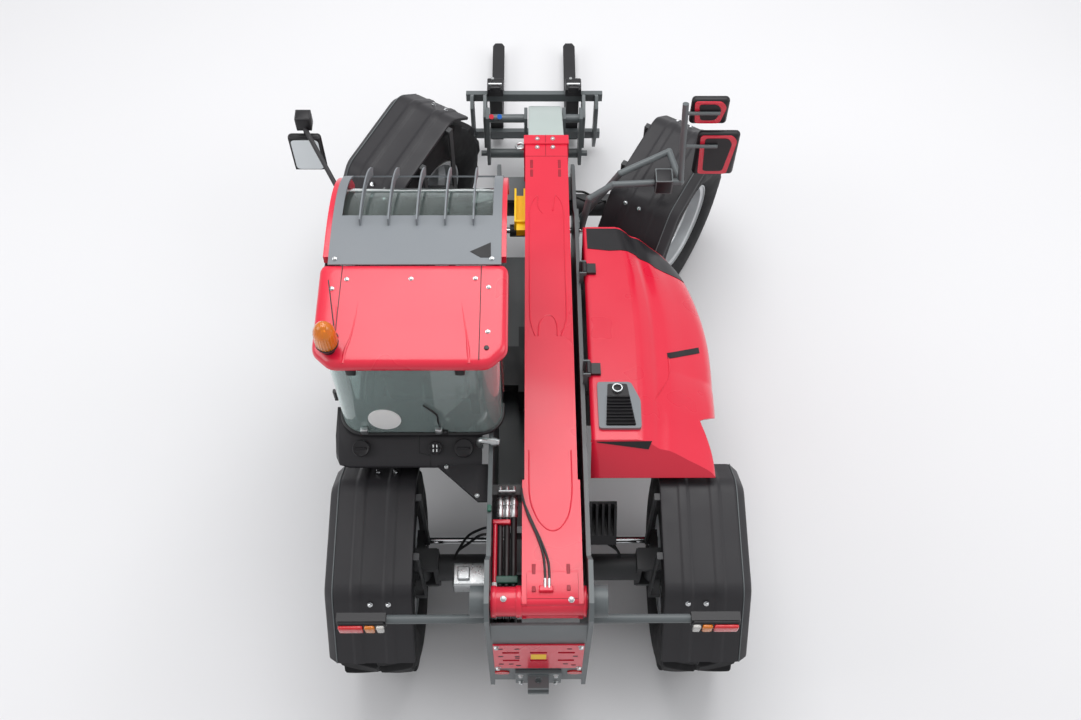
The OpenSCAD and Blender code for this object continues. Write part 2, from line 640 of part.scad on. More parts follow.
module door_glass() color([0.3, 0.4, 0.45, 0.5]) placed() difference() {
    yz(-cab_left - 30 - glass_t, -cab_left - 30) door_hole(-15);
    yz(-cab_left - 50, -cab_left) translate([400, 1385]) square([1600, 30]);
}

module tank() color(black) placed() {
    x1 = -plate_x - 42;
    loft([for (s = [[-cab_left - 40, 60], [-cab_left - 20, 18], [-cab_left + 40, 0], [x1, 0]])
        [for (p = [[325 + s[1], arch_z], [325 + s[1], 1368], [345 + s[1], 1395], [480, 1469 - s[1] / 3],
            [655, 1469], [655, arch_z]]) [s[0], p[0], p[1]]]]);
    // Wing beside the frame
    xy(arch_z, arch_z + 26) polygon([[x1 - 260, 335], [x1, 335], [-plate_x - 6, 335], [-plate_x - 6, 110],
        [-plate_x - 60, 110]]);
    // Filler caps on the sloping face
    for (c = [[-1000, 46], [-580, 36], [-420, 52]]) translate([c[0], 412, 1428]) rotate([29, 0, 0])
        cylinder(h = 34, r = c[1]);
}

module seat() color(black) placed() {
    block([cab_mid - 180, 940, floor_z], [cab_mid + 180, 1260, 1120]);
    yz(cab_mid - 215, cab_mid + 215) polygon([[800, 1120], [1320, 1120], [1350, 1160], [1340, 1220],
        [1290, 1240],
        [940, 1220], [880, 1260], [790, 1800], [770, 1960], [720, 1970], [700, 1800], [760, 1240]]);
}

module controls() color(black) placed() {
    block([-plate_x - 160, 980, floor_z], [-plate_x - 40, 1420, 1240]);
    bar([-plate_x - 100, 1340, 1240], [-plate_x - 100, 1330, 1370], 22);
    block([cab_mid - 80, 1680, floor_z], [cab_mid + 80, 1840, floor_z + 24]);
    bar([cab_mid, 1756, floor_z + 20], [cab_mid, 1590, 1330], 55);
    translate([cab_mid, 1590, 1330]) rotate([17, 0, 0]) {
        rotate_extrude() translate([175, 30]) circle(r = 16);
        for (a = [90, 210, 330]) rotate([0, 0, a]) translate([0, -16, 22]) cube([176, 32, 14]);
        cylinder(h = 40, r = 60);
    }
}

module cab_step() color(grey) placed() {
    for (y = [1100, 1680]) block([-cab_left + 70, y, 420], [-cab_left + 330, y + 10, floor_z - 120]);
    for (z = [420, 560]) block([-cab_left + 60, 1100, z], [-cab_left + 330, 1690, z + 14]);
    block([-cab_left + 300, 1000, floor_z - 150], [-cab_left + 330, 1780, floor_z - 120]);
}

module beacon() color([0.95, 0.55, 0.1]) placed() translate([-cab_left + 75, 440, roof_z]) {
    cylinder(h = 60, r = 34);
    translate([0, 0, 60]) cylinder(h = 110, r = beacon_r);
    translate([0, 0, 170]) sphere(r = beacon_r);
}

module mirror_left() color(black) placed() {
    bar([-cab_left, 1785, 1880], [-cab_left - 45, 1785, 1880], 16);
    tube_path([[-cab_left - 30, 1785, 1880], [-cab_left - 60, 1850, 1930], [-reach_left + 110, 2230, 2060],
        [-reach_left + 110, 2230, 1700]], 14);
    block([-reach_left, 2200, 1720], [-reach_left + 190, 2225, 2010]);
    block([-reach_left + 60, 2225, 2050], [-reach_left + 150, 2300, 2150]);
}

// Tube along a row of points, with a ball at each bend
module tube_path(points, r) {
    for (i = [0:len(points) - 2]) bar(points[i], points[i + 1], r);
    for (i = [1:len(points) - 2]) translate(points[i]) sphere(r = r * 1.08);
}

// Guard of bent tube beside the hood's nose, with the post of the right mirrors
post_x = reach_right - 350;
guard_y = wheelbase - 435;
guard_z = arch_z + 72;
// Mirror arms: place behind the guard's front tube, height
arm_high = [125, 1930];
arm_low = [66, 1690];
arm_r = 12;

module mirror_guard() color(grey) placed() {
    for (b = [[guard_y - 85, 1040], [guard_y + 75, 930]])
        block([plate_x, b[0] - 45, b[1] - 50], [plate_x + 14, b[0] + 45, b[1] + 50]);
    tube_path([[plate_x + 28, guard_y - 85, 1040], [plate_x + 70, guard_y - 75, guard_z - 80],
        [post_x - 440, guard_y - 20, guard_z - 6], [post_x, guard_y, guard_z],
        [post_x - 60, guard_y + 250, guard_z + 4], [post_x - 390, guard_y + 75, guard_z - 8],
        [plate_x + 28, guard_y + 75, 930]], 22);
    bar([post_x, guard_y, guard_z - 10], [post_x - 20, guard_y + 140, 2000], 20);
    // Headlamp through which the outer tube runs
    block([post_x - 170, guard_y - 70, guard_z - 40], [post_x - 60, guard_y + 40, guard_z + 85]);
    // Arms that carry the mirrors
    bar_x(post_x - 12, reach_right - 150, guard_y + arm_high[0], arm_high[1], arm_r);
    bar_x(post_x - 6, reach_right - 140, guard_y + arm_low[0], arm_low[1], arm_r);
}

module mirrors_right() color(black) placed() {
    high_y = guard_y + arm_high[0] + arm_r + gap;
    low_y = guard_y + arm_low[0] + arm_r + gap;
    block([post_x + 18, high_y, arm_high[1] - 120], [reach_right - 95, high_y + 25, arm_high[1] + 100]);
    block([post_x + 80, low_y, guard_z - 30], [reach_right, low_y + 25, arm_low[1] + 95]);
}

module hoses() color(black) placed() {
    block([-plate_in, 90, 1390], [-plate_in + 160, 150, 1500]);
    block([-plate_in, -600, 1000], [-plate_in + 160, -480, 1090]);
    for (x = [45, 82, 119]) translate([-plate_in + x, 0, 0]) {
        bar([0, 90, 1450], [0, -420, 1450], 17);
        translate([0, -420, 1330]) rotate([0, -90, 0]) rotate([0, 0, 180]) rotate_extrude(angle = 90)
            translate([120, 0]) circle(r = 17);
        bar([0, -540, 1330], [0, -540, 1090], 17);
    }
}

// Boom

module boom_outer() color(red) placed() on_boom() {
    hw = boom_w / 2;
    difference() {
        union() {
            block([-hw, 110, boom_bottom], [hw, boom_len, boom_top]);
            block([-hw - 10, boom_len - 90, boom_bottom - 10], [hw + 10, boom_len, boom_top + 10]);
            for (x = [-hw - 12, hw - 13]) yz(x, x + 25) polygon([[-72, -50], [-50, 70], [60, boom_top],
                [680, boom_top], [720, 40], [720, -200], [600, boom_bottom], [170, boom_bottom]]);
            bar_x(-plate_in - boom_x + 6, plate_in - boom_x - 6, 0, 0, 75);
            // Ears of the lift cylinder's eye
            for (x = [-78, 53]) yz(x, x + 25) polygon([[lift_b[0] - 110, boom_bottom],
                [lift_b[0] + 150, boom_bottom], [lift_b[0] + 50, lift_b[1] - 50], [lift_b[0] - 50,
                    lift_b[1] - 50]]);
            for (x = [-90, 78]) bar_x(x, x + 12, lift_b[0], lift_b[1], 36);
        }
        block([-hw + boom_wall, 450, boom_bottom + boom_wall], [hw - boom_wall, boom_len + 5,
            boom_top - boom_wall]);
    }
    bar_x(-plate_x - boom_x - 50, plate_x - boom_x + 50, 0, 0, 45);
}

// Safety prop stowed on the boom's left side
module boom_prop() color([0.95, 0.75, 0.1]) placed() on_boom() difference() {
    union() {
        block([-boom_w / 2 - 72, 2760, -60], [-boom_w / 2 - gap, 3080, 20]);
        block([-boom_w / 2 - 58, 2700, -50], [-boom_w / 2 - gap, 2800, 0]);
    }
    block([-boom_w / 2 - 60, 2775, -48], [-boom_w / 2 - 12, 3090, 30]);
}

// Wheel chock stowed on the right side plate
module wheel_chock() color(black) placed() {
    block([plate_x + gap, 60, 960], [plate_x + 30, 180, 1010]);
    difference() {
        yz(plate_x + 25, plate_x + 185) polygon([[20, 930], [220, 930], [220, 1110], [190, 1110]]);
        for (i = [0:3]) block([plate_x + 40 + i * 36, 60, 950], [plate_x + 62 + i * 36, 205, 1120]);
    }
}

module boom_inner() color([0.70, 0.74, 0.73]) placed() on_boom() {
    hw = inner_w / 2;
    q = rel_boom([tilt_y, tilt_z]);
    difference() {
        union() {
            block([-hw, 620, inner_bottom], [hw, boom_len + 30, inner_top]);
            for (x = [-hw, hw - 24]) yz(x, x + 24) polygon([[3450, inner_top], [boom_len + 30, inner_top],
                q + [-175, 549], rel_boom([tilt_y + 70, tilt_z + 460]), rel_boom([tilt_y + 205,
                    tilt_z + 325]),
                rel_boom([tilt_y + 215, tilt_z + 290]), q + [66, -32], q + [0, -66], q + [-69, -32],
                q + [-233, 197], [3620, inner_bottom], [3450, inner_bottom]]);
            yz(-hw, hw) polygon([[boom_len, inner_top], [boom_len + 30, inner_top],
                q + [-175, 549], rel_boom([tilt_y + 70, tilt_z + 460]), rel_boom([tilt_y + 205,
                    tilt_z + 325]),
                rel_boom([tilt_y + 193, tilt_z + 315]), rel_boom([tilt_y + 63, tilt_z + 442]),
                q + [-182, 532], [boom_len, inner_top - 20]]);
        }
        block([-hw + 10, 630, inner_bottom + 10], [hw - 10, boom_len + 40, inner_top - 20]);
        block([-hw + 24, 3200, inner_bottom - 20], [hw - 24, boom_len + 40, inner_bottom + 30]);
        bar_x(-hw - 5, hw + 5, q[0], q[1], 30 + gap);
    }
    // Pin of the tilt cylinder
    bar_x(-hw + 10, hw - 10, tilt_s[0], tilt_s[1], 22);
}

// Cylinder barrel along its own y from the base eye, and the rod that slides in it
module ram_barrel(r, rod, len, eye, pin, w) {
    difference() {
        union() {
            bar_x(-w, w, 0, 0, eye);
            translate([0, eye - 20, 0]) rotate([-90, 0, 0]) cylinder(h = len - eye + 20, r = r);
        }
        bar_x(-w - 5, w + 5, 0, 0, pin + gap);
        translate([0, eye + 15, 0]) rotate([-90, 0, 0]) cylinder(h = len - eye - 75, r = r - 14);
        translate([0, eye + 15, 0]) rotate([-90, 0, 0]) cylinder(h = len, r = rod + gap);
    }
}

module ram_rod(r, start, len, eye, w) {
    translate([0, start, 0]) rotate([-90, 0, 0]) cylinder(h = len - start - eye + 15, r = r);
    bar_x(-w, w, len, 0, eye);
}

lift_v = boom_point(lift_b) - lift_a;
lift_len = norm(lift_v);
lift_angle = atan2(lift_v[1], lift_v[0]);
tilt_v = [tilt_y, tilt_z] + tilt_arm - boom_point(tilt_s);
tilt_len = norm(tilt_v);
tilt_angle = atan2(tilt_v[1], tilt_v[0]);

module on_lift() translate([boom_x, lift_a[0], lift_a[1]]) rotate([lift_angle, 0, 0]) children();

module on_tilt() translate([boom_x, boom_point(tilt_s)[0], boom_point(tilt_s)[1]])
    rotate([tilt_angle, 0, 0])
    children();

module lift_barrel() color(black) placed() on_lift() ram_barrel(70, 35, lift_len - 150, 58, 32, 62);

module lift_rod() color(steel) placed() on_lift() ram_rod(35, 80, lift_len, 50, 45);

module tilt_barrel() color(black) placed() on_tilt() ram_barrel(50, 26, tilt_len - 110, 42, 22, 60);

module tilt_rod() color(steel) placed() on_tilt() ram_rod(26, 140, tilt_len, 42, 30);

// Fork carriage

module hitch_plate() polygon([[tilt_y - 55, tilt_z - 60], [tilt_y - 10, tilt_z - 95], [tilt_y + 110,
    tilt_z - 95],
    [tilt_y + 150, tilt_z - 40], [tilt_y + 150, tilt_z + 370], [tilt_y + 110, tilt_z + 410],
    [tilt_y, tilt_z + 410], [tilt_y - 50, tilt_z + 270]]);

module quick_hitch() color(grey) placed() {
    hw = inner_w / 2;
    for (x = [-375, boom_x - hw - 33, boom_x + hw + 8, 330]) yz(x, x + 25) hitch_plate();
    for (r = [[-375, boom_x - hw - 8], [boom_x + hw + 8, 355]]) {
        bar_x(r[0], r[1], tilt_y + 50, tilt_z - 40, 36);
        bar_x(r[0], r[1], tilt_y + 50, tilt_z + 360, 32);
    }
    for (x = [-425, 355]) bar_x(x, x + 50, tilt_y + 50, tilt_z - 40, 22);
    // Pivot pin with the lever of the tilt cylinder
    bar_x(boom_x - hw - 33, boom_x + hw + 33, tilt_y, tilt_z, 30);
    for (x = [boom_x - 62, boom_x + 37]) {
        yz(x, x + 25) polygon([[tilt_y - 58, tilt_z], [tilt_y, tilt_z - 58], [tilt_y + 58, tilt_z],
            [tilt_y + 75, tilt_z + 230], [tilt_y + 60, tilt_z + 290], [tilt_y, tilt_z + 290],
            [tilt_y - 15, tilt_z + 230]]);
        bar_x(x, x + 25, tilt_y, tilt_z, 56);
    }
}

module fork_carriage() color(grey) placed() {
    // Brackets on the hitch, end plates and the two fork bars
    for (x = [-400, 355]) yz(x, x + 25) polygon([[tilt_y + 85, tilt_z - 20], [tilt_y + 85, tilt_z + 330],
        [tilt_y + 250, tilt_z + 400], [shank_y - 40, tilt_z + 310], [shank_y - 40, tilt_z - 200],
        [tilt_y + 250, tilt_z - 200]]);
    for (x = [-500, 455]) yz(x, x + 25) polygon([[tilt_y + 170, tilt_z - 20], [tilt_y + 170, tilt_z + 330],
        [tilt_y + 250, tilt_z + 390], [shank_y - 40, tilt_z + 310], [shank_y - 40, tilt_z - 200],
        [tilt_y + 250, tilt_z - 200]]);
    for (z = [-200, 230]) block([-10 - carriage_w / 2, shank_y - 40, tilt_z + z],
        [-10 + carriage_w / 2, shank_y, tilt_z + z + 80]);
}

module forks() color(black) placed() for (s = [-1, 1]) intersection() {
    yz(-10 + s * fork_pitch / 2 - fork_w / 2, -10 + s * fork_pitch / 2 + fork_w / 2) polygon([
        [shank_y, 115 - fork_t], [shank_y + fork_len * 0.5, 115 - fork_t], [fork_tip, 105], [fork_tip, 115],
        [shank_y + fork_t, 115],
        [shank_y + fork_t, tilt_z + 370], [shank_y - 50, tilt_z + 370], [shank_y - 50, tilt_z + 310],
        [shank_y, tilt_z + 310]]);
    xy(0, 1000) translate([-10 + s * fork_pitch / 2, 0]) polygon([[-fork_w, shank_y - 200],
        [fork_w, shank_y - 200], [fork_w, fork_tip - 120], [fork_w * 0.3, fork_tip],
        [-fork_w * 0.3, fork_tip], [-fork_w, fork_tip - 120]]);
}

chassis_frame();
rear_panel();
tow_hitch();
lamp_bars();
rear_lamps();
front_axle();
rear_axle();
drive_shafts();
engine_block();
hood();
hood_hinges();
hood_grille();
cab_frame();
cab_roof();
roof_guard();
windscreen();
rear_window();
side_window();
door();
door_glass();
tank();
seat();
controls();
cab_step();
beacon();
mirror_left();
mirror_guard();
mirrors_right();
hoses();
boom_outer();
boom_inner();
lift_barrel();
lift_rod();
tilt_barrel();
tilt_rod();
quick_hitch();
boom_prop();
wheel_chock();
fork_carriage();
forks();
steer_rod_front();
steer_rod_rear();
knuckle_fl();
knuckle_fr();
knuckle_rl();
knuckle_rr();
fender_fl();
fender_fr();
fender_rl();
fender_rr();
rim_fl();
rim_fr();
rim_rl();
rim_rr();
tyre_fl();
tyre_fr();
tyre_rl();
tyre_rr();
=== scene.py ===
"""Finished looks of a telehandler: enamel skins, tyres, glass, seat and fittings round its solid model."""

import json
import math

import bmesh
import bpy
import numpy as np
from mathutils import Matrix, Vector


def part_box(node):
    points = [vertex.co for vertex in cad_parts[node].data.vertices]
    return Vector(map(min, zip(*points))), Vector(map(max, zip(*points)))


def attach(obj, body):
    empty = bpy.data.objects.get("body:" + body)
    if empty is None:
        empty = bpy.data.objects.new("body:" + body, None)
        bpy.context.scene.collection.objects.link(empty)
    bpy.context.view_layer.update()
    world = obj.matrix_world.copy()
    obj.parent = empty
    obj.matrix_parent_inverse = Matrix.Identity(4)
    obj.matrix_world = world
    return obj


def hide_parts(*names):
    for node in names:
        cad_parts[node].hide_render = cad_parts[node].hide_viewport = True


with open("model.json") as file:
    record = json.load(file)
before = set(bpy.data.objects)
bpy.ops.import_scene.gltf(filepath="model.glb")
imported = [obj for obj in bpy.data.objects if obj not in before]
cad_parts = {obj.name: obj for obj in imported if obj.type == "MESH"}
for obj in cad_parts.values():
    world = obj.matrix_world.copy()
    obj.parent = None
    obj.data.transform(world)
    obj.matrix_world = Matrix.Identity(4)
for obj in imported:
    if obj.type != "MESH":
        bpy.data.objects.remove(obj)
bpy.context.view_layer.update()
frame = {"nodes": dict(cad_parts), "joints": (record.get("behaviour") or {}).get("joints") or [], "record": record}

bl_info = {
    "name": "Telehandler looks",
    "version": (1, 0, 0),
    "blender": (4, 5, 0),
    "location": "View3D > Sidebar > Telehandler",
    "description": "Builds the finished surfaces of a telehandler round its solid model",
    "category": "Object",
}

JOINTS = {joint["name"]: joint for joint in frame["joints"]}
WHEELS = ("fl", "fr", "rl", "rr")
MM = 0.001


def pin(name):
    """Place of a joint in the row frame."""
    return np.array(JOINTS[name]["pos_m"], float)


# Point on the ground under the middle of the rear axle, from which sizes are measured
REAR_AXLE = np.array([(pin("steer_rr")[0] + pin("steer_rl")[0]) / 2, pin("steer_rr")[1], 0.0])
BOOM_AXIS = np.array(JOINTS["boom_extend"]["axis"], float)
BOOM_UP = np.array([0.0, -BOOM_AXIS[2], BOOM_AXIS[1]])
BOOM_FRAME = np.stack([np.eye(3)[0], BOOM_AXIS, BOOM_UP], 1)
SLOPE = -BOOM_AXIS[2] / BOOM_AXIS[1]
KINGPIN_OFFSET = float(np.linalg.norm(pin("wheel_rr_spin") - pin("steer_rr")))
# Height of the axles, which is also the outer radius of the tyres
AXLE_HEIGHT = float(pin("steer_rr")[2])
UP = (0.0, 0.0, 1.0)


def linear(code):
    """Linear red, green and blue of an sRGB hex colour."""
    s = np.array([int(code[i:i + 2], 16) for i in (1, 3, 5)]) / 255
    return tuple(np.where(s <= 0.04045, s / 12.92, ((s + 0.055) / 1.055) ** 2.4))


def colour_prop(label, what, code):
    """Colour setting with an sRGB hex default."""
    return bpy.props.FloatVectorProperty(
        name=label, description=what, subtype="COLOR", size=3, min=0, max=1, default=linear(code))


def length_prop(label, what, value):
    """Length setting in metres."""
    return bpy.props.FloatProperty(name=label, description=what, unit="LENGTH", default=value, min=0)


class TelehandlerColours(bpy.types.PropertyGroup):
    """Colours of the coats and mouldings."""

    red: colour_prop("Red enamel", "Boom, roof and hood", "#D81536")
    frame_grey: colour_prop("Frame grey", "Chassis and carriers", "#5C6264")
    guard_grey: colour_prop("Guard grey", "Bars over the roof glass", "#767B80")
    boom_grey: colour_prop("Boom grey", "Inner boom section", "#AEB9B6")
    black: colour_prop("Black plastic", "Fenders, tank and trim", "#29282B")
    rim: colour_prop("Rim silver", "Wheel discs", "#C9CCCE")
    ground: colour_prop("Ground", "Floor under the machine", "#E2E2E4")


class TelehandlerSizes(bpy.types.PropertyGroup):
    """Sizes that only the finished surfaces have."""

    lug_count: bpy.props.IntProperty(
        name="Lugs a side", description="Traction bars on each half of a tyre", default=14, min=8)
    lug_depth: length_prop("Lug depth", "Height of a traction bar over the tread", 0.036)
    lug_sweep: bpy.props.FloatProperty(
        name="Lug sweep", description="Turn of a bar from the middle to the shoulder", subtype="ANGLE",
        default=math.radians(15), min=0)
    fender_wall: length_prop("Fender wall", "Thickness of the moulded fenders", 0.011)
    hood_wall: length_prop("Hood wall", "Thickness of the hood", 0.012)
    edge_round: length_prop("Edge rounding", "Radius on the edges of steel plates", 0.005)


# Shader nodes


def add(tree, kind, inputs=None, **settings):
    """Adds one shader node: inputs maps a socket to a value or to the socket that feeds it."""
    node = tree.nodes.new(kind)
    for key, value in settings.items():
        setattr(node, key, value)
    for key, value in (inputs or {}).items():
        if isinstance(value, bpy.types.NodeSocket):
            tree.links.new(value, node.inputs[key])
        else:
            node.inputs[key].default_value = value
    return node


def start(name):
    """Empty material and the Object coordinates in it."""
    material = bpy.data.materials.new(name)
    material.use_nodes = True
    tree = material.node_tree
    tree.nodes.clear()
    return material, tree, add(tree, "ShaderNodeTexCoord").outputs["Object"]


def close(material, sockets):
    """Ends a material in a principled shader with the given sockets."""
    tree = material.node_tree
    shader = add(tree, "ShaderNodeBsdfPrincipled", sockets)
    add(tree, "ShaderNodeOutputMaterial", {"Surface": shader.outputs[0]})
    return material


def tone(tree, place, low, high, patch_mm, detail=5.0):
    """Two close tones mixed by soft noise of the given patch size; gives the colour and the noise."""
    noise = add(tree, "ShaderNodeTexNoise",
                {"Vector": place, "Scale": 1 / (patch_mm * MM), "Detail": detail, "Roughness": 0.6})
    mixed = add(tree, "ShaderNodeMixRGB",
                {"Fac": noise.outputs["Fac"], "Color1": (*low, 1), "Color2": (*high, 1)})
    return mixed.outputs["Color"], noise.outputs["Fac"]


def coat(name, colour, rough, patch_mm, grain_mm, depth_mm, spread, **sockets):
    """Sprayed or moulded coat: tone shifts a little in broad patches, roughness follows it, and a
    fine grain stands in the bump."""
    material, tree, place = start(name)
    low = tuple(c * (1 - spread) for c in colour)
    high = tuple(min(1.0, c * (1 + spread) + 0.003) for c in colour)
    paint, patches = tone(tree, place, low, high, patch_mm, 2.0)
    roughness = add(tree, "ShaderNodeMapRange",
                    {"Value": patches, "From Min": 0.3, "From Max": 0.7,
                     "To Min": rough * 0.85, "To Max": rough * 1.2})
    grain = add(tree, "ShaderNodeTexNoise", {"Vector": place, "Scale": 1 / (grain_mm * MM), "Detail": 3.0})
    bump = add(tree, "ShaderNodeBump",
               {"Height": grain.outputs["Fac"], "Strength": 1.0, "Distance": depth_mm * MM})
    return close(material, {"Base Color": paint, "Roughness": roughness.outputs["Result"],
                            "Normal": bump.outputs["Normal"], **sockets})


def split_coat(name, middle, ends, rough, centre, reach):
    """Satin coat in two colours: further than reach from the centre along x it has the end colour."""
    material, tree, place = start(name)
    along = add(tree, "ShaderNodeSeparateXYZ", {"Vector": place})
    shift = add(tree, "ShaderNodeMath", {0: along.outputs["X"], 1: centre}, operation="SUBTRACT")
    away = add(tree, "ShaderNodeMath", {0: shift.outputs[0]}, operation="ABSOLUTE")
    beyond = add(tree, "ShaderNodeMath", {0: away.outputs[0], 1: reach}, operation="GREATER_THAN")
    paint = add(tree, "ShaderNodeMixRGB",
                {"Fac": beyond.outputs[0], "Color1": (*middle, 1), "Color2": (*ends, 1)})
    return close(material, {"Base Color": paint.outputs["Color"], "Roughness": rough})


def float_glass(name, tint, rough, through):
    """Toughened float glass: clear with a green cast, a faint wipe film in its gloss. What doesn't go
    through it stays as a pale veil, a painted reflection."""
    material, tree, place = start(name)
    film = add(tree, "ShaderNodeTexNoise", {"Vector": place, "Scale": 1 / (180 * MM), "Detail": 3.0})
    roughness = add(tree, "ShaderNodeMapRange",
                    {"Value": film.outputs["Fac"], "To Min": rough * 0.4, "To Max": rough * 1.6})
    return close(material, {"Base Color": (*linear(tint), 1), "Roughness": roughness.outputs["Result"],
                            "Transmission Weight": through, "IOR": 1.45})


# Scale of a wave texture whose bands are one metre apart
WAVE = 0.314


def ribbed_lens(name, code, rib_mm, through):
    """Moulded acrylic lens: fine upright flutes break the light, the body colour glows through."""
    material, tree, place = start(name)
    ribs = add(tree, "ShaderNodeTexWave",
               {"Vector": place, "Scale": WAVE / (rib_mm * MM), "Distortion": 0.0},
               wave_type="BANDS", bands_direction="X")
    bump = add(tree, "ShaderNodeBump",
               {"Height": ribs.outputs["Fac"], "Strength": 0.8, "Distance": 0.6 * MM})
    colour, _ = tone(tree, place, linear(code), tuple(min(1, c * 1.15) for c in linear(code)), 40)
    return close(material, {"Base Color": colour, "Roughness": 0.08, "Normal": bump.outputs["Normal"],
                            "Transmission Weight": through, "IOR": 1.49, "Coat Weight": 0.4})


def woven_cloth(name, code, thread_mm):
    """Flat-woven seat cloth: warp and weft as two crossed waves, darker in the gaps. Threads of about
    1 mm are drawn at 4 mm so that they show."""
    material, tree, place = start(name)
    scale = WAVE / (thread_mm * MM)
    warp = add(tree, "ShaderNodeTexWave", {"Vector": place, "Scale": scale}, bands_direction="X")
    weft = add(tree, "ShaderNodeTexWave", {"Vector": place, "Scale": scale}, bands_direction="DIAGONAL")
    cross = add(tree, "ShaderNodeMath",
                {0: warp.outputs["Fac"], 1: weft.outputs["Fac"]}, operation="MULTIPLY")
    base = linear(code)
    colour = add(tree, "ShaderNodeMixRGB",
                 {"Fac": cross.outputs["Value"], "Color1": (*[c * 0.55 for c in base], 1),
                  "Color2": (*[min(1, c * 1.5) for c in base], 1)})
    bump = add(tree, "ShaderNodeBump",
               {"Height": cross.outputs["Value"], "Strength": 0.7, "Distance": 0.8 * MM})
    return close(material, {"Base Color": colour.outputs["Color"], "Roughness": 0.9, "Sheen Weight": 0.3,
                            "Normal": bump.outputs["Normal"]})


# How far the black brackets under the lamps reach in from the middle of the wheels
LAMP_BRACKET = 0.1315


def make_finishes(colours):
    """All the finishes, named for what they are on the real machine; some also carry painted shade, and the glass
    a painted reflection.
    """
    black, red, grey = tuple(colours.black), tuple(colours.red), tuple(colours.frame_grey)
    dull, bright = {"Specular IOR Level": 0.3}, {"Metallic": 1.0}

    def darker(colour, share):
        return tuple(c * share for c in colour)

    # Colour, roughness, sizes of patches and grain and depth of the grain in mm, spread of tone, more sockets
    coats = [
        # Gloss enamel on bent sheet: deep colour under a clear skin with faint orange peel
        ("red_enamel", red, 0.30, 420, 7, 0.05, 0.05, {"Coat Weight": 0.42, "Coat Roughness": 0.10}),
        # Satin chassis paint on thick plate
        ("frame_paint", grey, 0.42, 300, 5, 0.08, 0.06, {"Coat Weight": 0.1, "Coat Roughness": 0.3}),
        # Powder coat: even, with a fine pebble
        ("guard_powder_coat", tuple(colours.guard_grey), 0.48, 300, 2.5, 0.08, 0.07, {}),
        ("boom_grey_paint", tuple(colours.boom_grey), 0.36, 350, 6, 0.06, 0.04, {}),
        # Moulded polypropylene: matt, leathery grain, a little dust
        ("grained_plastic", black, 0.46, 220, 3.0, 0.18, 0.15, {"Specular IOR Level": 0.35}),
        ("smooth_plastic", darker(black, 0.7), 0.34, 200, 6, 0.03, 0.1, dull),
        ("black_paint", darker(black, 0.75), 0.36, 220, 5, 0.06, 0.1, {}),
        # Sand-cast iron under thin paint: coarse skin
        ("cast_iron", linear("#3A3B3D"), 0.55, 160, 6, 0.4, 0.12, {}),
        ("rim_lacquer", tuple(colours.rim), 0.32, 200, 4, 0.05, 0.03, {"Metallic": 0.55}),
        # Carbon-black rubber with a dry bloom
        ("tyre_rubber", linear("#1E1E20"), 0.72, 120, 5, 0.25, 0.2, dull),
        ("hose_rubber", linear("#1D1D1F"), 0.45, 90, 3, 0.2, 0.15, {}),
        # Zinc plate: bright, slightly blotched
        ("zinc_plate", linear("#C6C9CA"), 0.30, 30, 3, 0.05, 0.12, {"Metallic": 0.9}),
        # Hard chrome on a ground rod
        ("hard_chrome", linear("#D6D8DA"), 0.12, 60, 2, 0.01, 0.04, bright),
        ("mirror_glass", linear("#DDE2E4"), 0.04, 90, 20, 0.0, 0.02, bright),
        ("yellow_paint", linear("#F2C412"), 0.35, 150, 5, 0.05, 0.05, {}),
        # Painted shade inside the windows cut in red plate, also the dark red seam lines
        ("seam_and_shade_red", darker(red, 0.45), 0.5, 120, 5, 0.05, 0.08, {}),
        ("white_film", linear("#F4F5F4"), 0.35, 120, 5, 0.02, 0.02, {}),
        # Black of soot and seams, and painted shade in vent and panel openings
        ("soot_seam_and_shade_black", linear("#1B1B1D"), 0.6, 120, 5, 0.3, 0.2, {}),
        ("green_clamp", linear("#1F5A4A"), 0.4, 60, 4, 0.1, 0.1, {}),
        ("signal_blue", linear("#1668C8"), 0.35, 60, 4, 0.05, 0.05, {}),
    ]
    made = {name: coat(name, *numbers, **sockets) for name, *numbers, sockets in coats}
    # Grey bar that ends in black brackets under the lamps
    middle = float(REAR_AXLE[0])
    reach = float(pin("wheel_rr_spin")[0] - REAR_AXLE[0]) - LAMP_BRACKET
    made["lamp_bar_paint"] = split_coat("lamp_bar_paint", grey, darker(black, 0.8), 0.45, middle, reach)
    # The large rear pane lets less light through: its pale veil is a painted reflection of the open sky
    for name, tint, through in (("clear_glass", "#DCE9E6", 0.95), ("rear_glass", "#DDF0EE", 0.78)):
        made[name] = float_glass(name, tint, 0.03, through)
    for name, code, rib_mm, through in (("amber_lens", "#FF8A0A", 9, 0.45), ("red_lens", "#E0222A", 6, 0.3),
                                        ("pale_lens", "#F4EFEA", 6, 0.5)):
        made[name] = ribbed_lens(name, code, rib_mm, through)
    made["seat_cloth"] = woven_cloth("seat_cloth", "#2E3234", 4)
    return made


# Materials by name, filled by the finishes operator
FINISH = {}
# Material slot of the pieces with a finish, where it isn't called like the finish
SLOT_OF = {"red_enamel": "red_paint", "seam_and_shade_red": "red_paint", "signal_blue": "red_paint",
           "frame_paint": "grey_paint", "white_film": "grey_paint", "smooth_plastic": "black_plastic",
           "grained_plastic": "black_plastic", "soot_seam_and_shade_black": "black_plastic",
           "black_paint": "black_plastic", "green_clamp": "black_plastic", "hard_chrome": "rod_chrome",
           "zinc_plate": "rod_chrome", "mirror_glass": "rod_chrome", "rear_glass": "clear_glass",
           "red_lens": "lamp_red", "pale_lens": "lamp_red", "amber_lens": "beacon_amber"}


# Surfaces


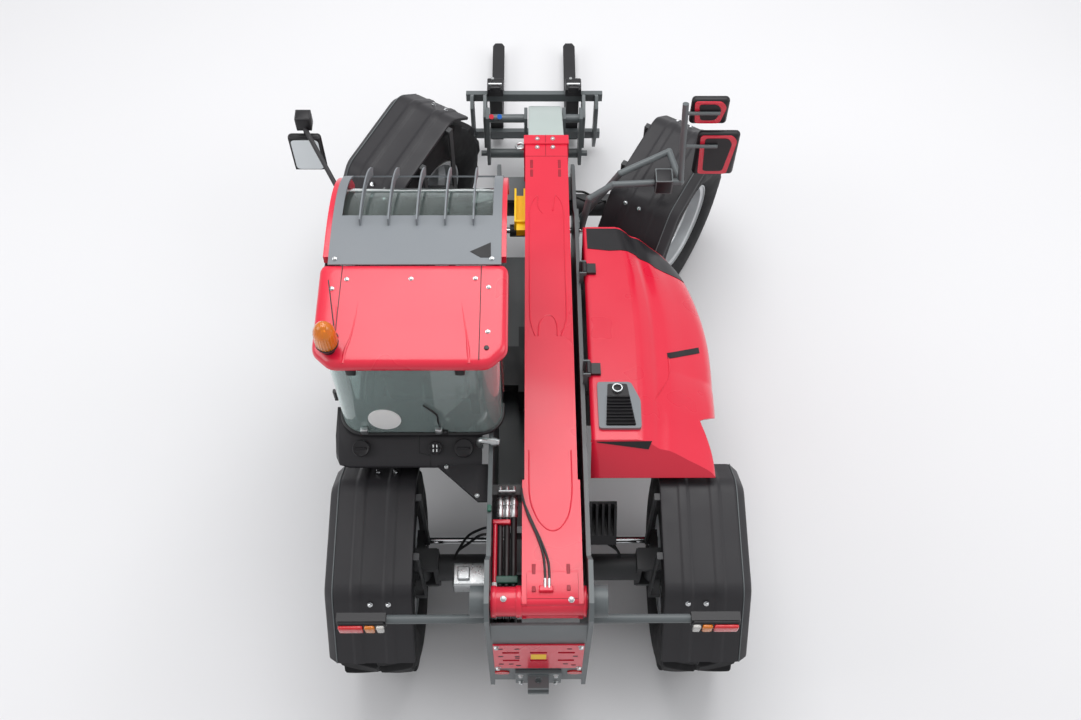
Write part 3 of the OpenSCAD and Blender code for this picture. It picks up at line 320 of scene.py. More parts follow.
def faces_of(rows, cols, wrap_rows, wrap_cols, caps, first):
    """Quads of a grid as index lists, with an outline face on each end row where caps is set."""
    i = np.arange(rows if wrap_rows else rows - 1)[:, None]
    j = np.arange(cols if wrap_cols else cols - 1)[None, :]
    after_i, after_j = (i + 1) % rows, (j + 1) % cols
    quads = np.stack([i * cols + j, i * cols + after_j, after_i * cols + after_j, after_i * cols + j], -1)
    faces = (quads.reshape(-1, 4) + first).tolist()
    if caps:
        faces.append((np.arange(cols)[::-1] + first).tolist())
        faces.append((np.arange(cols) + first + (rows - 1) * cols).tolist())
    return faces


def grid(points, wrap_rows=False, wrap_cols=False, caps=False):
    """One grid of points, rows by columns, as a part of a piece."""
    return np.asarray(points, float), wrap_rows, wrap_cols, caps


def piece(name, parts, finish, body="chassis", slot=None, replaces=(), sharp=38):
    """Object made of grids: doubles are merged, normals turned outward and edges over the sharp angle
    left hard. It rides on a body and may stand for solid nodes."""
    points, faces, first = [], [], 0
    for rows, wrap_rows, wrap_cols, caps in parts:
        m, n = rows.shape[:2]
        points.append(rows.reshape(-1, 3))
        faces += faces_of(m, n, wrap_rows, wrap_cols, caps, first)
        first += m * n
    mesh = bpy.data.meshes.new(name)
    mesh.from_pydata(np.vstack(points).tolist(), [], faces)
    work = bmesh.new()
    work.from_mesh(mesh)
    bmesh.ops.remove_doubles(work, verts=work.verts, dist=2e-5)
    bmesh.ops.dissolve_degenerate(work, edges=work.edges, dist=1e-6)
    bmesh.ops.recalc_face_normals(work, faces=work.faces)
    work.to_mesh(mesh)
    work.free()
    mesh.shade_smooth()
    mesh.set_sharp_from_angle(angle=math.radians(sharp))
    mesh.materials.append(FINISH[finish])
    made = bpy.data.objects.new(name, mesh)
    bpy.context.scene.collection.objects.link(made)
    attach(made, body)
    slot = slot or SLOT_OF.get(finish, finish)
    if replaces:
        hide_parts(*replaces)
    return made


def axle_piece(name, parts, finish, *options, **more):
    """A piece whose parts are measured from under the rear axle."""
    return piece(name, [moved(part, np.eye(3), REAR_AXLE) for part in parts], finish, *options, **more)


def on_boom(part):
    """A part measured across, along and up from the boom's pivot, put into the row frame."""
    return moved(part, BOOM_FRAME, pin("boom_lift"))


def boom_piece(name, parts, finish, **more):
    """A piece on the boom, whose parts are measured from its pivot."""
    return piece(name, [on_boom(part) for part in parts], finish, "boom", **more)


def turns(count):
    """Angles round a full turn in even steps."""
    return np.linspace(0, 2 * np.pi, count, endpoint=False)


def oval(x, y, half_x, half_y, count):
    """Outline of an ellipse."""
    return np.stack([x + half_x * np.cos(turns(count)), y + half_y * np.sin(turns(count))], 1)


def spline(points, count):
    """Points at even steps on the Catmull-Rom curve through the given points."""
    p = np.asarray(points, float)
    p = np.vstack([2 * p[0] - p[1], p, 2 * p[-1] - p[-2]])
    t = np.linspace(0, len(p) - 3 - 1e-9, count)
    i = t.astype(int)
    f = (t - i)[:, None]
    a, b, c, d = p[i], p[i + 1], p[i + 2], p[i + 3]
    square, cube = 2 * a - 5 * b + 4 * c - d, 3 * b - a - 3 * c + d
    return 0.5 * (2 * b + (c - a) * f + square * f ** 2 + cube * f ** 3)


def rounded(points, cut, steps=5, ring=False):
    """Polyline whose corners are quadratic arcs that start a cut length before each corner."""
    p = np.asarray(points, float)
    before = np.roll(p, 1, 0) - p
    after = np.roll(p, -1, 0) - p
    reach_b = np.minimum(cut, 0.48 * np.linalg.norm(before, axis=1))[:, None]
    reach_a = np.minimum(cut, 0.48 * np.linalg.norm(after, axis=1))[:, None]
    a = p + before / np.maximum(np.linalg.norm(before, axis=1)[:, None], 1e-9) * reach_b
    b = p + after / np.maximum(np.linalg.norm(after, axis=1)[:, None], 1e-9) * reach_a
    t = np.linspace(0, 1, steps)[:, None, None]
    arcs = ((1 - t) ** 2 * a + 2 * t * (1 - t) * p + t ** 2 * b).transpose(1, 0, 2)
    if ring:
        return arcs.reshape(-1, p.shape[1])
    return np.vstack([p[:1], arcs[1:-1].reshape(-1, p.shape[1]), p[-1:]])


def rectangle(x0, y0, x1, y1, cut, steps=4):
    """Outline of a rectangle with round corners."""
    return rounded([(x0, y0), (x1, y0), (x1, y1), (x0, y1)], cut, steps, True)


def tube(path, radius, sides=14):
    """Circle carried square to a path: at each point two directions across the tangent span it. The
    radius may change along the path."""
    p = np.asarray(path, float)
    tangent = np.gradient(p, axis=0)
    tangent /= np.linalg.norm(tangent, axis=1)[:, None]
    across = np.zeros_like(p)
    guide = np.eye(3)[np.argmin(np.abs(tangent[0]))]
    for k, t in enumerate(tangent):
        guide = guide - t * (guide @ t)
        guide /= np.linalg.norm(guide)
        across[k] = guide
    other = np.cross(tangent, across)
    turn = turns(sides)
    r = np.broadcast_to(np.asarray(radius, float), len(p))[:, None, None]
    ring = across[:, None] * np.cos(turn)[None, :, None] + other[:, None] * np.sin(turn)[None, :, None]
    return grid(p[:, None] + r * ring, wrap_cols=True, caps=True)


def pillow(low, high, radius, steps=4):
    """Box with round edges: the corner ball of each eighth is pushed out to its own corner."""
    low, high = np.minimum(low, high), np.maximum(low, high)
    middle, half = (low + high) / 2, (high - low) / 2
    radius = min(radius, 0.98 * half.min())
    quarter = np.linspace(0, np.pi / 2, steps + 1)
    turn = np.concatenate([quarter + k * np.pi / 2 for k in range(4)])[None, :]
    rise = np.concatenate([quarter - np.pi / 2, quarter])[:, None]
    normal = np.stack([np.cos(rise) * np.cos(turn), np.cos(rise) * np.sin(turn),
                       np.sin(rise) * np.ones_like(turn)], -1)
    sign = np.stack(np.broadcast_arrays(np.repeat([1, -1, -1, 1], steps + 1)[None, :],
                                        np.repeat([1, 1, -1, -1], steps + 1)[None, :],
                                        np.repeat([-1, 1], steps + 1)[:, None]), -1)
    return grid(middle + sign * (half - radius) + radius * normal, wrap_cols=True, caps=True)


def revolve(profile, centre, axis, sides=48):
    """Profile of (along, radius) points turned about an axis through a centre."""
    profile = np.asarray(profile, float)
    axis = np.asarray(axis, float) / np.linalg.norm(axis)
    first = np.cross(axis, np.eye(3)[np.argmin(np.abs(axis))])
    first /= np.linalg.norm(first)
    second = np.cross(axis, first)
    turn = turns(sides)
    ring = np.cos(turn)[:, None] * first + np.sin(turn)[:, None] * second
    points = centre + profile[:, None, :1] * axis + profile[:, None, 1:] * ring[None]
    return grid(points, wrap_cols=True, caps=True)


def plate(outline, low, high, axis=0):
    """Flat outline (two coordinates in order of the other two axes) drawn between two planes."""
    outline = np.asarray(outline, float)
    rows = [np.insert(outline, axis, level, axis=1) for level in (low, high)]
    return grid(rows, wrap_cols=True, caps=True)


def moved(part, matrix, shift=(0, 0, 0)):
    """A part turned by a 3 by 3 matrix whose columns are the new axes, then shifted."""
    points, *rest = part
    return (points @ np.asarray(matrix, float).T + np.asarray(shift, float), *rest)


def wheel_axes(name):
    """Columns outward, forward and up of one wheel, and its kingpin."""
    side = 1 if name[1] == "r" else -1
    axis = np.array(JOINTS[f"wheel_{name}_spin"]["axis"], float)
    return np.stack([side * axis, [-axis[1], axis[0], 0], [0, 0, 1]], 1), pin(f"steer_{name}")


def bolts(places, normals, width, height):
    """Hexagon heads on round washers: one small revolved form at each place along its normal."""
    washer = [(0.0, 0.62 * width), (0.15 * height, 0.62 * width)]
    head = [(0.0, 0.5 * width), (0.85 * height, 0.5 * width), (height, 0.4 * width)]
    parts = []
    for place, normal in zip(*np.broadcast_arrays(np.asarray(places, float), np.asarray(normals, float))):
        seat = place + 0.15 * height * normal / np.linalg.norm(normal)
        parts += [revolve(washer, place, normal, 12), revolve(head, seat, normal, 6)]
    return parts


# Hood

HOOD_LEFT = 0.30
HOOD_RIGHT = 1.095
HOOD_TOP = 1.52
# Places along the machine where the top's height is measured and where the hood is widest
HOOD_BASE = 0.45
HOOD_WIDEST = 1.2
HOOD_ENDS = (0.405, 2.078)
ARCH = AXLE_HEIGHT + 0.728
HOOD_SILL = 0.72
# Stations between which the lower edge falls from the wheel arch to the sill
ARCH_ENDS = (0.64, 0.96)
# Share of the section that crosses the flat top, and how far the rear wall leans back for its height
HOOD_FLAT = 0.3
REAR_LEAN = 0.765
# Drop below the hood's edge line and share of its width, from the flat top over the ridge to the sill
HOOD_SECTION = [(0.002, 0.36), (0.010, 0.41), (0.042, 0.475), (0.070, 0.520), (0.082, 0.560),
                (0.098, 0.625), (0.160, 0.745), (0.270, 0.945), (0.380, 0.992), (0.520, 1.00),
                (0.700, 0.980), (0.900, 0.967)]


def hood_edge(y):
    """Height of the hood's hinge edge, parallel to the lowered boom."""
    return HOOD_TOP - SLOPE * (y - HOOD_BASE) + 0.014


def hood_wide(y):
    """Right edge of the hood, drawn in from its widest place by a parabola to both ends."""
    return np.where(y < HOOD_WIDEST, HOOD_RIGHT - 0.095 * ((HOOD_WIDEST - y) / 0.95) ** 2,
                    HOOD_RIGHT - 0.195 * ((y - HOOD_WIDEST) / 0.85) ** 2)


def hood_points(y, v):
    """Hood skin at stations y and section shares v: the first shares cross the flat top, the rest runs
    down the side, whose spread follows the section curve; the ends lean with the end walls."""
    y, v = np.broadcast_arrays(y, v)
    section = spline(HOOD_SECTION, 260)
    top = hood_edge(y)
    low = np.interp(y, ARCH_ENDS, [ARCH, HOOD_SILL])
    squeeze = 1 + 0.6 * np.clip((ARCH_ENDS[1] - y) / (ARCH_ENDS[1] - HOOD_ENDS[0]), 0, 1)
    drop = (top - low) * np.clip((v - HOOD_FLAT) / (1 - HOOD_FLAT), 0, 1)
    flat = HOOD_SECTION[0][1] * np.clip(v / HOOD_FLAT, 0, 1)
    share = np.where(v < HOOD_FLAT, flat, np.interp(drop * squeeze, section[:, 0], section[:, 1]))
    x = HOOD_LEFT + (hood_wide(y) - HOOD_LEFT) * share
    z = top - drop - 0.010 * np.clip(1 - v / 0.03, 0, 1) ** 2
    lean = np.interp(y, [HOOD_ENDS[0], 0.66, 1.80, 1.96, HOOD_ENDS[1]], [REAR_LEAN, 0, 0, 0.11, 0.228])
    return np.stack([x, y + lean * (z - top), z], -1)


def lifted(rows, height):
    """A grid moved along its own normals, found from the differences of its rows and columns."""
    normal = np.cross(np.gradient(rows, axis=0), np.gradient(rows, axis=1))
    normal /= np.linalg.norm(normal, axis=2)[..., None]
    normal *= np.sign((normal[..., 2:] + 0.3 * normal[..., :1]).mean())
    return rows + height * normal


def patch(rows, height):
    """Closed thin pad over a grid: the lifted grid, sunk at its rim."""
    top = lifted(rows, height)
    under = lifted(rows, -0.002)
    sides = np.concatenate([under[:, :1], top, under[:, -1:]], 1)
    full = np.concatenate([np.concatenate([under[:1, :1], under[:1], under[:1, -1:]], 1),
                           sides,
                           np.concatenate([under[-1:, :1], under[-1:], under[-1:, -1:]], 1)], 0)
    return grid(full)


def make_hood(sizes):
    """Hood with its end walls, black front band, side slot, crease and rear vent."""
    ys = np.linspace(*HOOD_ENDS, 110)[:, None]
    side = HOOD_FLAT + (1 - HOOD_FLAT) * np.linspace(0, 1, 84) ** 1.35
    # Columns across the flat top
    flat = 13
    skin = hood_points(ys, np.concatenate([np.linspace(0, HOOD_FLAT, flat + 1)[:-1], side])[None, :])
    parts = [grid(skin)]
    for edge in (skin[0], skin[-1]):
        inner = edge[flat:] * [0, 1, 1] + [HOOD_LEFT, 0, 0]
        share = ((edge[:flat + 1, 0] - HOOD_LEFT) / (edge[flat, 0] - HOOD_LEFT))[:, None, None]
        wall = inner + (edge[flat:] - inner) * share
        wall[:, 0] = edge[:flat + 1]
        parts.append(grid(wall))
    hood = axle_piece("hood_skin", parts, "red_enamel", "hood", replaces=["hood"], sharp=32)
    wall = hood.modifiers.new("wall", "SOLIDIFY")
    wall.thickness = sizes.hood_wall
    wall.offset = -1
    wall.use_even_offset = False
    across = np.linspace(0.03, 0.62, 60)[None, :]
    share = np.linspace(0, 1, 14)[:, None]
    rear = np.interp(across, [0.03, 0.20, 0.37, 0.435, 0.62], [1.885, 1.865, 1.872, 1.807, 1.800])
    ahead = np.interp(across, [0.03, 0.415, 0.56, 0.62], [2.062, 2.062, 2.050, 1.930])
    front = hood_points(rear + (ahead - rear) * share, across)
    run = np.linspace(0.39, 0.53, 20)[None, :]
    slot = hood_points(1.064 + 0.95 * (run - 0.39) + 0.044 * (np.linspace(0, 1, 6)[:, None] - 0.5), run)
    panels = [patch(front, 0.003), patch(slot, 0.003)]
    axle_piece("hood_black_panels", panels, "smooth_plastic", "hood", sharp=40)
    bend = np.array([(1.050, 0.3925), (0.900, 0.397), (0.706, 0.409), (0.597, 0.419)])
    bend = spline(np.stack([hood_points(y, v) for y, v in bend]) - [0, 0, 0.001], 40)
    axle_piece("hood_crease", [tube(bend, np.linspace(0.0050, 0.0008, 40), 10)], "red_enamel", "hood")
    # Dark sheet on the rear vent: painted shade of its opening
    lean = np.array([0.0, REAR_LEAN, 1.0])
    normal = np.array([0.0, -1.0, REAR_LEAN]) / math.hypot(1.0, REAR_LEAN)
    wedge = np.array([(0.330, -0.010), (0.640, -0.008), (0.622, -0.048), (0.335, -0.014)])
    flush = [0.0, HOOD_ENDS[0], hood_edge(HOOD_ENDS[0])] + wedge[:, :1] * [1, 0, 0] + wedge[:, 1:] * lean
    vent = grid(flush + normal * np.array([-0.002, 0.003])[:, None, None], wrap_cols=True, caps=True)
    axle_piece("hood_rear_vent_shade", [vent], "soot_seam_and_shade_black", "hood")


def make_grille():
    """Grille on the hood's flat top: plate, louvre blades and the exhaust's outlet in its recess."""
    base = REAR_AXLE + [HOOD_LEFT, HOOD_BASE, HOOD_TOP]
    top = 0.032
    rim = rounded([(0.045, 0.02), (0.285, 0.02), (0.290, 0.22), (0.240, 0.35), (0.045, 0.35)], 0.02, 5, True)
    piece("grille_plate", [moved(plate(rim, 0.0145, top, 2), BOOM_FRAME, base)], "guard_powder_coat", "hood",
          "grey_paint", ["hood_grille"])
    well = rounded([(0.085, 0.035), (0.255, 0.035), (0.218, 0.335), (0.105, 0.335)], 0.012, 4, True)
    blades = [plate(well, top - 0.004, top + 0.001, 2)]
    cos, sin = math.cos(0.6), math.sin(0.6)
    for y in 0.05 + 0.0235 * np.arange(9):
        left, right = (np.interp(y, [0.035, 0.335], ends) for ends in ((0.085, 0.105), (0.255, 0.218)))
        blade = pillow((left, -0.010, -0.002), (right, 0.010, 0.002), 0.0019)
        blades.append(moved(blade, [[1, 0, 0], [0, cos, sin], [0, -sin, cos]], (0, y, top + 0.006)))
    piece("grille_louvres", [moved(blade, BOOM_FRAME, base) for blade in blades], "smooth_plastic", "hood")
    outlet = [(0.0, 0.030), (0.018, 0.030), (0.018, 0.024), (0.003, 0.023)]
    place = base + BOOM_FRAME @ [0.160, 0.295, top]
    piece("exhaust_outlet", [revolve(outlet, place, BOOM_UP, 28)], "zinc_plate", "hood", "grey_paint")
    soot = [(0.002, 0.0232), (0.006, 0.0232)]
    piece("exhaust_soot", [revolve(soot, place, BOOM_UP, 28)], "soot_seam_and_shade_black", "hood")


# Fenders and tyres

# Angle over the axle in degrees and height over the tyre
FENDER_LINE = [(50, 0.066), (70, 0.112), (122, 0.103), (160, 0.078)]
# Outward place and rise of the fender's section, with two raised ribs and the chamfered outer edge
FENDER_SECTION = [(-0.02, -0.010), (-0.018, -0.002), (0.0, 0.0), (0.075, 0.0), (0.090, 0.007), (0.130, 0.007),
                  (0.145, 0.0), (0.255, 0.0), (0.270, 0.007), (0.310, 0.007), (0.325, 0.0), (0.405, 0.0),
                  (0.422, -0.006), (0.464, -0.046), (0.470, -0.060)]


def make_fenders(sizes):
    """Moulded fenders: the ribbed section is carried along the arched line over the tyre."""
    angles, heights = np.array(FENDER_LINE).T
    arch = (AXLE_HEIGHT + heights) * [np.cos(np.radians(angles)), np.sin(np.radians(angles))]
    line = rounded(arch.T, 0.07, 9)
    line = np.vstack([np.linspace(a, b, 4)[:-1] for a, b in zip(line[:-1], line[1:])] + [line[-1:]])
    run = np.gradient(line, axis=0)
    run /= np.linalg.norm(run, axis=1)[:, None]
    outward = np.stack([run[:, 1], -run[:, 0]], 1)
    section = rounded(FENDER_SECTION, 0.006, 3)
    ring = np.vstack([section, section[::-1] + [0, -sizes.fender_wall]])
    flat = line[:, None] + ring[None, :, 1:] * outward[:, None]
    rows = np.stack([np.broadcast_to(ring[None, :, 0], flat.shape[:2]), flat[..., 0], flat[..., 1]], -1)
    # Painted highlight: a pale line where the chamfer of the outer edge begins
    rim = np.column_stack([np.full(len(line), 0.4185), line + outward * -0.002])
    spots, normals = [], []
    for k in (int(0.045 * len(line)), int(0.93 * len(line))):
        for place in (0.11, 0.21):
            spots.append([place, *(line[k] + outward[k] * 0.0065)])
            normals.append([0.0, *outward[k]])
    for name in WHEELS:
        columns, king = wheel_axes(name)
        knuckle = f"knuckle_{name}"
        heads = bolts(np.array(spots) @ columns.T + king, np.array(normals) @ columns.T, 0.024, 0.012)
        piece(f"fender_bolts_{name}", heads, "hard_chrome", knuckle)
        # Pale tube on the black fender: painted highlight along the chamfer
        piece(f"fender_edge_highlight_{name}", [moved(tube(rim, 0.0032, 8), columns, king)], "frame_paint", knuckle)
        skin = moved(grid(rows, wrap_cols=True, caps=True), columns, king)
        piece(f"fender_skin_{name}", [skin], "grained_plastic", knuckle, None, [f"fender_{name}"], 34)


def tyre_parts(sizes):
    """Tyre round the origin with its axle along x: a revolved carcass and two rows of slanted bars. A
    bar's section is a trapezium, half a pitch wide at its foot and a third on top, swept from the
    middle to the shoulder."""
    low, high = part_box("rim_rr")
    seat = (high[2] - low[2]) / 2 - 0.0215
    half = 0.23
    tread = AXLE_HEIGHT - sizes.lug_depth
    side = [(seat, 0.1655), (seat + 0.024, 0.1725), (seat + 0.037, 0.193), (seat + 0.085, 0.219),
            (seat + 0.150, half - 0.0005), (seat + 0.205, half - 0.003), (tread - 0.024, half - 0.014),
            (tread - 0.007, half - 0.022), (tread, half - 0.036), (tread, 0.10), (tread, 0.0)]
    curve = spline(side, 34)
    profile = np.vstack([curve[:-1], curve[::-1] * [1, -1]])[:, ::-1]
    points = revolve(profile, np.zeros(3), (1, 0, 0), 112)[0]
    parts = [grid(points, wrap_rows=True, wrap_cols=True)]
    across = np.array([-0.010, 0.000, 0.010, 0.045, 0.080, 0.115, 0.150, 0.185, 0.198, 0.207, 0.216])
    lift = np.array([-0.1, 0.70, 0.97, 1, 1, 1, 1, 1, 0.97, 0.70, -0.75])
    sweep = np.clip((across - 0.010) / 0.192, 0, 1) * sizes.lug_sweep
    pitch = 2 * np.pi / sizes.lug_count
    bar = []
    trapezium = ((-0.1, -0.255), (0.90, -0.19), (1, -0.165), (1, 0.165), (0.90, 0.19), (-0.1, 0.255))
    for level, spread in trapezium:
        height = np.where(level < 0, np.minimum(level, lift), level * lift)
        bar.append(np.stack([across, spread * pitch - sweep, tread + sizes.lug_depth * height], -1))
    x, turn, r = np.stack(bar, 1).transpose(2, 0, 1)
    for row, start_share in ((-1, 0.18), (1, 0.68)):
        for k in range(sizes.lug_count):
            at = turn + pitch * (k + start_share)
            points = np.stack([row * x, r * np.sin(at), -r * np.cos(at)], -1)
            parts.append(grid(points, wrap_cols=True, caps=True))
    return parts


def make_tyres(sizes):
    """The four tyres and the nuts of their wheels."""
    parts = tyre_parts(sizes)
    nuts = np.column_stack([np.full(10, 0.046), oval(0.0, 0.0, 0.205, 0.205, 10)])
    for name in WHEELS:
        columns, king = wheel_axes(name)
        centre = king + columns[:, 0] * KINGPIN_OFFSET
        piece(f"tyre_body_{name}", [moved(part, columns, centre) for part in parts], "tyre_rubber",
              f"wheel_{name}", replaces=[f"tyre_{name}"], sharp=30)
        heads = bolts(nuts @ columns.T + centre, columns[:, 0], 0.032, 0.022)
        piece(f"wheel_nuts_{name}", heads, "zinc_plate", f"wheel_{name}", "rim_paint")


# Cab

CAB_LEFT = 1.110
CAB_RIGHT = 0.200
ROOF_TOP = 2.470
ROOF_UNDER = ROOF_TOP - 0.070
# Front curve: where it leaves the roof, how far it reaches ahead, where it stands upright, and its power
FRONT_START = 0.950
FRONT_REACH = 0.955
FRONT_LEVEL = 0.900
FRONT_POWER = 0.62


def front_curve(offset, angles):
    """Superellipse of the cab's front, level on the roof and upright at the floor, moved out by offset."""
    a = np.radians(angles)
    ahead = FRONT_START + (FRONT_REACH + offset) * np.sin(a) ** FRONT_POWER
    height = FRONT_LEVEL + (ROOF_UNDER - FRONT_LEVEL + offset) * np.cos(a) ** FRONT_POWER
    return np.stack([ahead, height], -1)


def make_roof():
    """Roof shell as stacked rounded outlines, and the red rails that follow the front curve."""
    x0, x1 = -CAB_LEFT - 0.005, -CAB_RIGHT + 0.035
    # Rise over the underside and inset of each outline
    layers = [(0.0, 0.0), (0.006, -0.006), (0.018, -0.012), (0.040, -0.010), (0.056, -0.002), (0.065, 0.010),
              (0.069, 0.024), (0.0705, 0.050), (0.0725, 0.090), (0.0725, 0.170)]
    rows = []
    for rise, t in layers:
        front = FRONT_START - max(0, t)
        corner = [(x0 + t, 0.450 + t), (x0 + t, front), (x1 - t, front), (x1 - t, 0.450 + t),
                  (x1 - 0.09 - 0.6 * t, 0.360 + t), (x0 + 0.09 + 0.6 * t, 0.360 + t)]
        outline = rounded(corner, 0.035, 6, True)
        rows.append(np.column_stack([outline, np.full(len(outline), ROOF_UNDER + rise)]))
    parts = [grid(rows, wrap_cols=True, caps=True)]
    angles = np.linspace(0.5, 55, 40)
    outer, inner = front_curve(0.061, angles), front_curve(0.009, angles)
    rail = 0.044
    for x in (x0, x1 - rail):
        bar = []
        for across, share in rectangle(0, 0, rail, 1, 0.008):
            yz = inner + (outer - inner) * share
            bar.append(np.column_stack([np.full(len(yz), x + across), yz]))
        parts.append(grid(np.array(bar).transpose(1, 0, 2), wrap_cols=True, caps=True))
    axle_piece("roof_shell", parts, "red_enamel", replaces=["cab_roof"], sharp=32)


def make_seat():
    """Seat as stuffed cloth cushions: each is a superellipsoid whose top is crowned and whose channels
    pull in, on a moulded base."""
    middle = -(CAB_LEFT + CAB_RIGHT) / 2
    u = np.linspace(-np.pi / 2, np.pi / 2, 41)[:, None]
    v = turns(72)[None, :]

    def power(value, e):
        return np.sign(value) * np.abs(value) ** e

    def cushion(half, channels):
        x = half[0] * power(np.cos(u), 0.35) * power(np.cos(v), 0.35)
        y = half[1] * power(np.cos(u), 0.35) * power(np.sin(v), 0.35)
        z = half[2] * power(np.sin(u), 0.55) * np.ones_like(v)
        groove = sum(np.exp(-((y - c * half[1]) / 0.012) ** 2) for c in channels)
        z = z * (1 - 0.22 * groove) * (1 + 0.16 * np.cos(1.5 * x / half[0]) - 0.06)
        return grid(np.stack([x, y, z], -1), wrap_cols=True, caps=True)

    def turned(angle):
        c, s = math.cos(math.radians(angle)), math.sin(math.radians(angle))
        return np.array([[1, 0, 0], [0, c, -s], [0, s, c]])

    pads = [("seat_cushion", (0.235, 0.265, 0.062), (-0.45, 0.0, 0.45), 4, (middle, 1.085, 1.185)),
            ("seat_back", (0.225, 0.330, 0.058), (-0.5, 0.0, 0.5), 98, (middle, 0.805, 1.555)),
            ("seat_headrest", (0.13, 0.085, 0.045), (), 98, (middle, 0.735, 1.925))]
    for name, half, channels, angle, place in pads:
        made = piece(name, [moved(cushion(half, channels), turned(angle), REAR_AXLE + place)], "seat_cloth",
                     replaces=["seat"] if name == "seat_cushion" else (), sharp=60)
    base = [pillow((middle - 0.18, 0.94, 0.76), (middle + 0.18, 1.26, 1.10), 0.03),
            pillow((middle - 0.21, 0.83, 1.09), (middle + 0.21, 1.32, 1.13), 0.015),
            tube([(middle, 0.765, 1.80), (middle, 0.742, 1.90)], 0.012)]
    for x in (middle - 0.245, middle + 0.245):
        base.append(pillow((x - 0.03, 0.90, 1.36), (x + 0.03, 1.22, 1.41), 0.022))
        base.append(pillow((x - 0.012, 0.80, 1.34), (x + 0.012, 0.93, 1.40), 0.01))
    axle_piece("seat_base", base, "smooth_plastic")


def make_beacon():
    """Beacon: fluted amber dome on a black foot, both turned about an upright axis, and the antenna."""
    low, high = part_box("beacon")
    centre = np.array([(low[0] + high[0]) / 2, (low[1] + high[1]) / 2, low[2]])
    top = high[2] - low[2]
    wide = (high[0] - low[0]) / 2
    dome = spline([(0.064, wide - 0.004), (0.085, wide - 0.002), (0.135, wide - 0.003), (0.172, wide - 0.006),
                   (top - 0.022, wide - 0.022), (top - 0.004, 0.018), (top, 0.001)], 40)
    points, *rest = revolve(dome, np.zeros(3), UP, 120)
    turn = np.arctan2(points[..., 1], points[..., 0])
    flute = 1 + 0.020 * np.cos(24 * turn) * (points[..., 2] < 0.165)
    points = points * np.stack([flute, flute, np.ones_like(flute)], -1) + centre
    piece("beacon_dome", [(points, *rest)], "amber_lens", replaces=["beacon"], sharp=50)
    foot = [(0.0, 0.034), (0.034, 0.032), (0.044, wide - 0.006), (0.060, wide), (0.066, wide - 0.002)]
    core = [(0.066, 0.030), (0.120, 0.028), (0.150, 0.020), (0.175, 0.004)]
    piece("beacon_foot", [revolve(foot, centre, UP, 48)], "smooth_plastic")
    piece("beacon_reflector", [revolve(core, centre, UP, 32)], "hard_chrome")
    root = centre + (0.03, 0.075, 0.0)
    whip = [root, centre + (0.022, 0.105, 0.03), centre + (-0.012, 0.33, 0.12)]
    stud = revolve([(0.0, 0.012), (0.018, 0.010), (0.022, 0.004)], root, UP, 20)
    piece("antenna", [tube(spline(whip, 14), 0.0032, 8), stud], "black_paint")


def make_lamps():
    """Rear lamps: black housing with red, amber and pale lens fields side by side."""
    low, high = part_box("rear_lamps")
    half = (high[0] - low[0]) / 2
    width = 0.25
    # First and last share of the width, from the outside in
    fields = {"red_lens": (0.0, 0.55), "amber_lens": (0.55, 0.80), "pale_lens": (0.80, 1.0)}
    lenses = {key: [] for key in fields}
    housings = []
    for s in (-1, 1):
        inner = (low[0] + high[0]) / 2 + s * (half - width)
        outer = inner + s * width
        housings.append(pillow((inner, high[1] - 0.022, low[2]), (outer, high[1], high[2]), 0.012))
        for key, (a, b) in fields.items():
            outside = inner + s * width * (1 - a) - s * 0.006
            inside = inner + s * width * (1 - b) + s * 0.002
            lenses[key].append(pillow((outside, low[1], low[2] + 0.008),
                                      (inside, high[1] - 0.018, high[2] - 0.008), 0.010))
    piece("rear_lamp_housings", housings, "smooth_plastic", replaces=["rear_lamps"])
    for key, parts in lenses.items():
        piece(f"rear_lamp_{key}", parts, key, slot="lamp_red")


# Fittings

# Weld lines on the boom's top plate as (across, along) points from the pivot
BOOM_LINES = (
    ((-0.117, 2.760), (-0.111, 2.818), (-0.091, 2.887), (-0.063, 2.922), (-0.063, 2.841), (-0.051, 2.800),
     (-0.032, 2.760)),
    ((0.107, 2.760), (0.100, 2.829), (0.082, 2.893), (0.056, 2.928), (0.045, 2.864), (0.036, 2.783)),
    ((-0.117, 2.760), (-0.116, 2.330), (-0.115, 1.905), (-0.108, 1.807), (-0.083, 1.706)),
    ((-0.065, 1.706), (-0.057, 1.807), (-0.020, 1.865), (0.024, 1.860), (0.047, 1.797), (0.050, 1.706)),
    ((0.107, 2.760), (0.107, 2.330), (0.107, 1.894), (0.096, 1.797), (0.071, 1.706)),
    ((-0.120, 0.874), (-0.120, 0.679), (-0.113, 0.550), (-0.078, 0.441), (-0.035, 0.380), (0.007, 0.361),
     (0.049, 0.383), (0.090, 0.457), (0.110, 0.575), (0.113, 0.678), (0.113, 0.874)))
# Windows of the wear pads: across, first and last along
PAD_WINDOWS = ((-0.102, 3.197, 3.283), (-0.102, 3.112, 3.185), (0.087, 3.197, 3.283), (0.087, 3.112, 3.185),
               (-0.096, 0.102, 0.164), (-0.096, 0.007, 0.060), (0.082, 0.105, 0.164), (0.082, 0.014, 0.063))
# Middle lines of the two thin hoses on the boom's top, across and along
BOOM_HOSES = (((-0.158, 0.590), (-0.127, 0.458), (-0.078, 0.327), (-0.047, 0.215), (-0.038, 0.106),
               (-0.038, 0.045)),
              ((-0.152, 0.545), (-0.099, 0.400), (-0.057, 0.295), (-0.023, 0.184), (-0.016, 0.106),
               (-0.017, 0.044)))
# Where the head's plate begins along the boom, and its step
HEAD_START = 3.441
HEAD_STEP = 0.010


def on_top(points, rise):
    """Points (across, along) put on the boom's top, which falls towards the cross tube."""
    p = np.asarray(points, float)
    return np.column_stack([p, np.interp(p[:, 1], [-0.05, 0.06], [0.0715, 0.0968]) + rise])


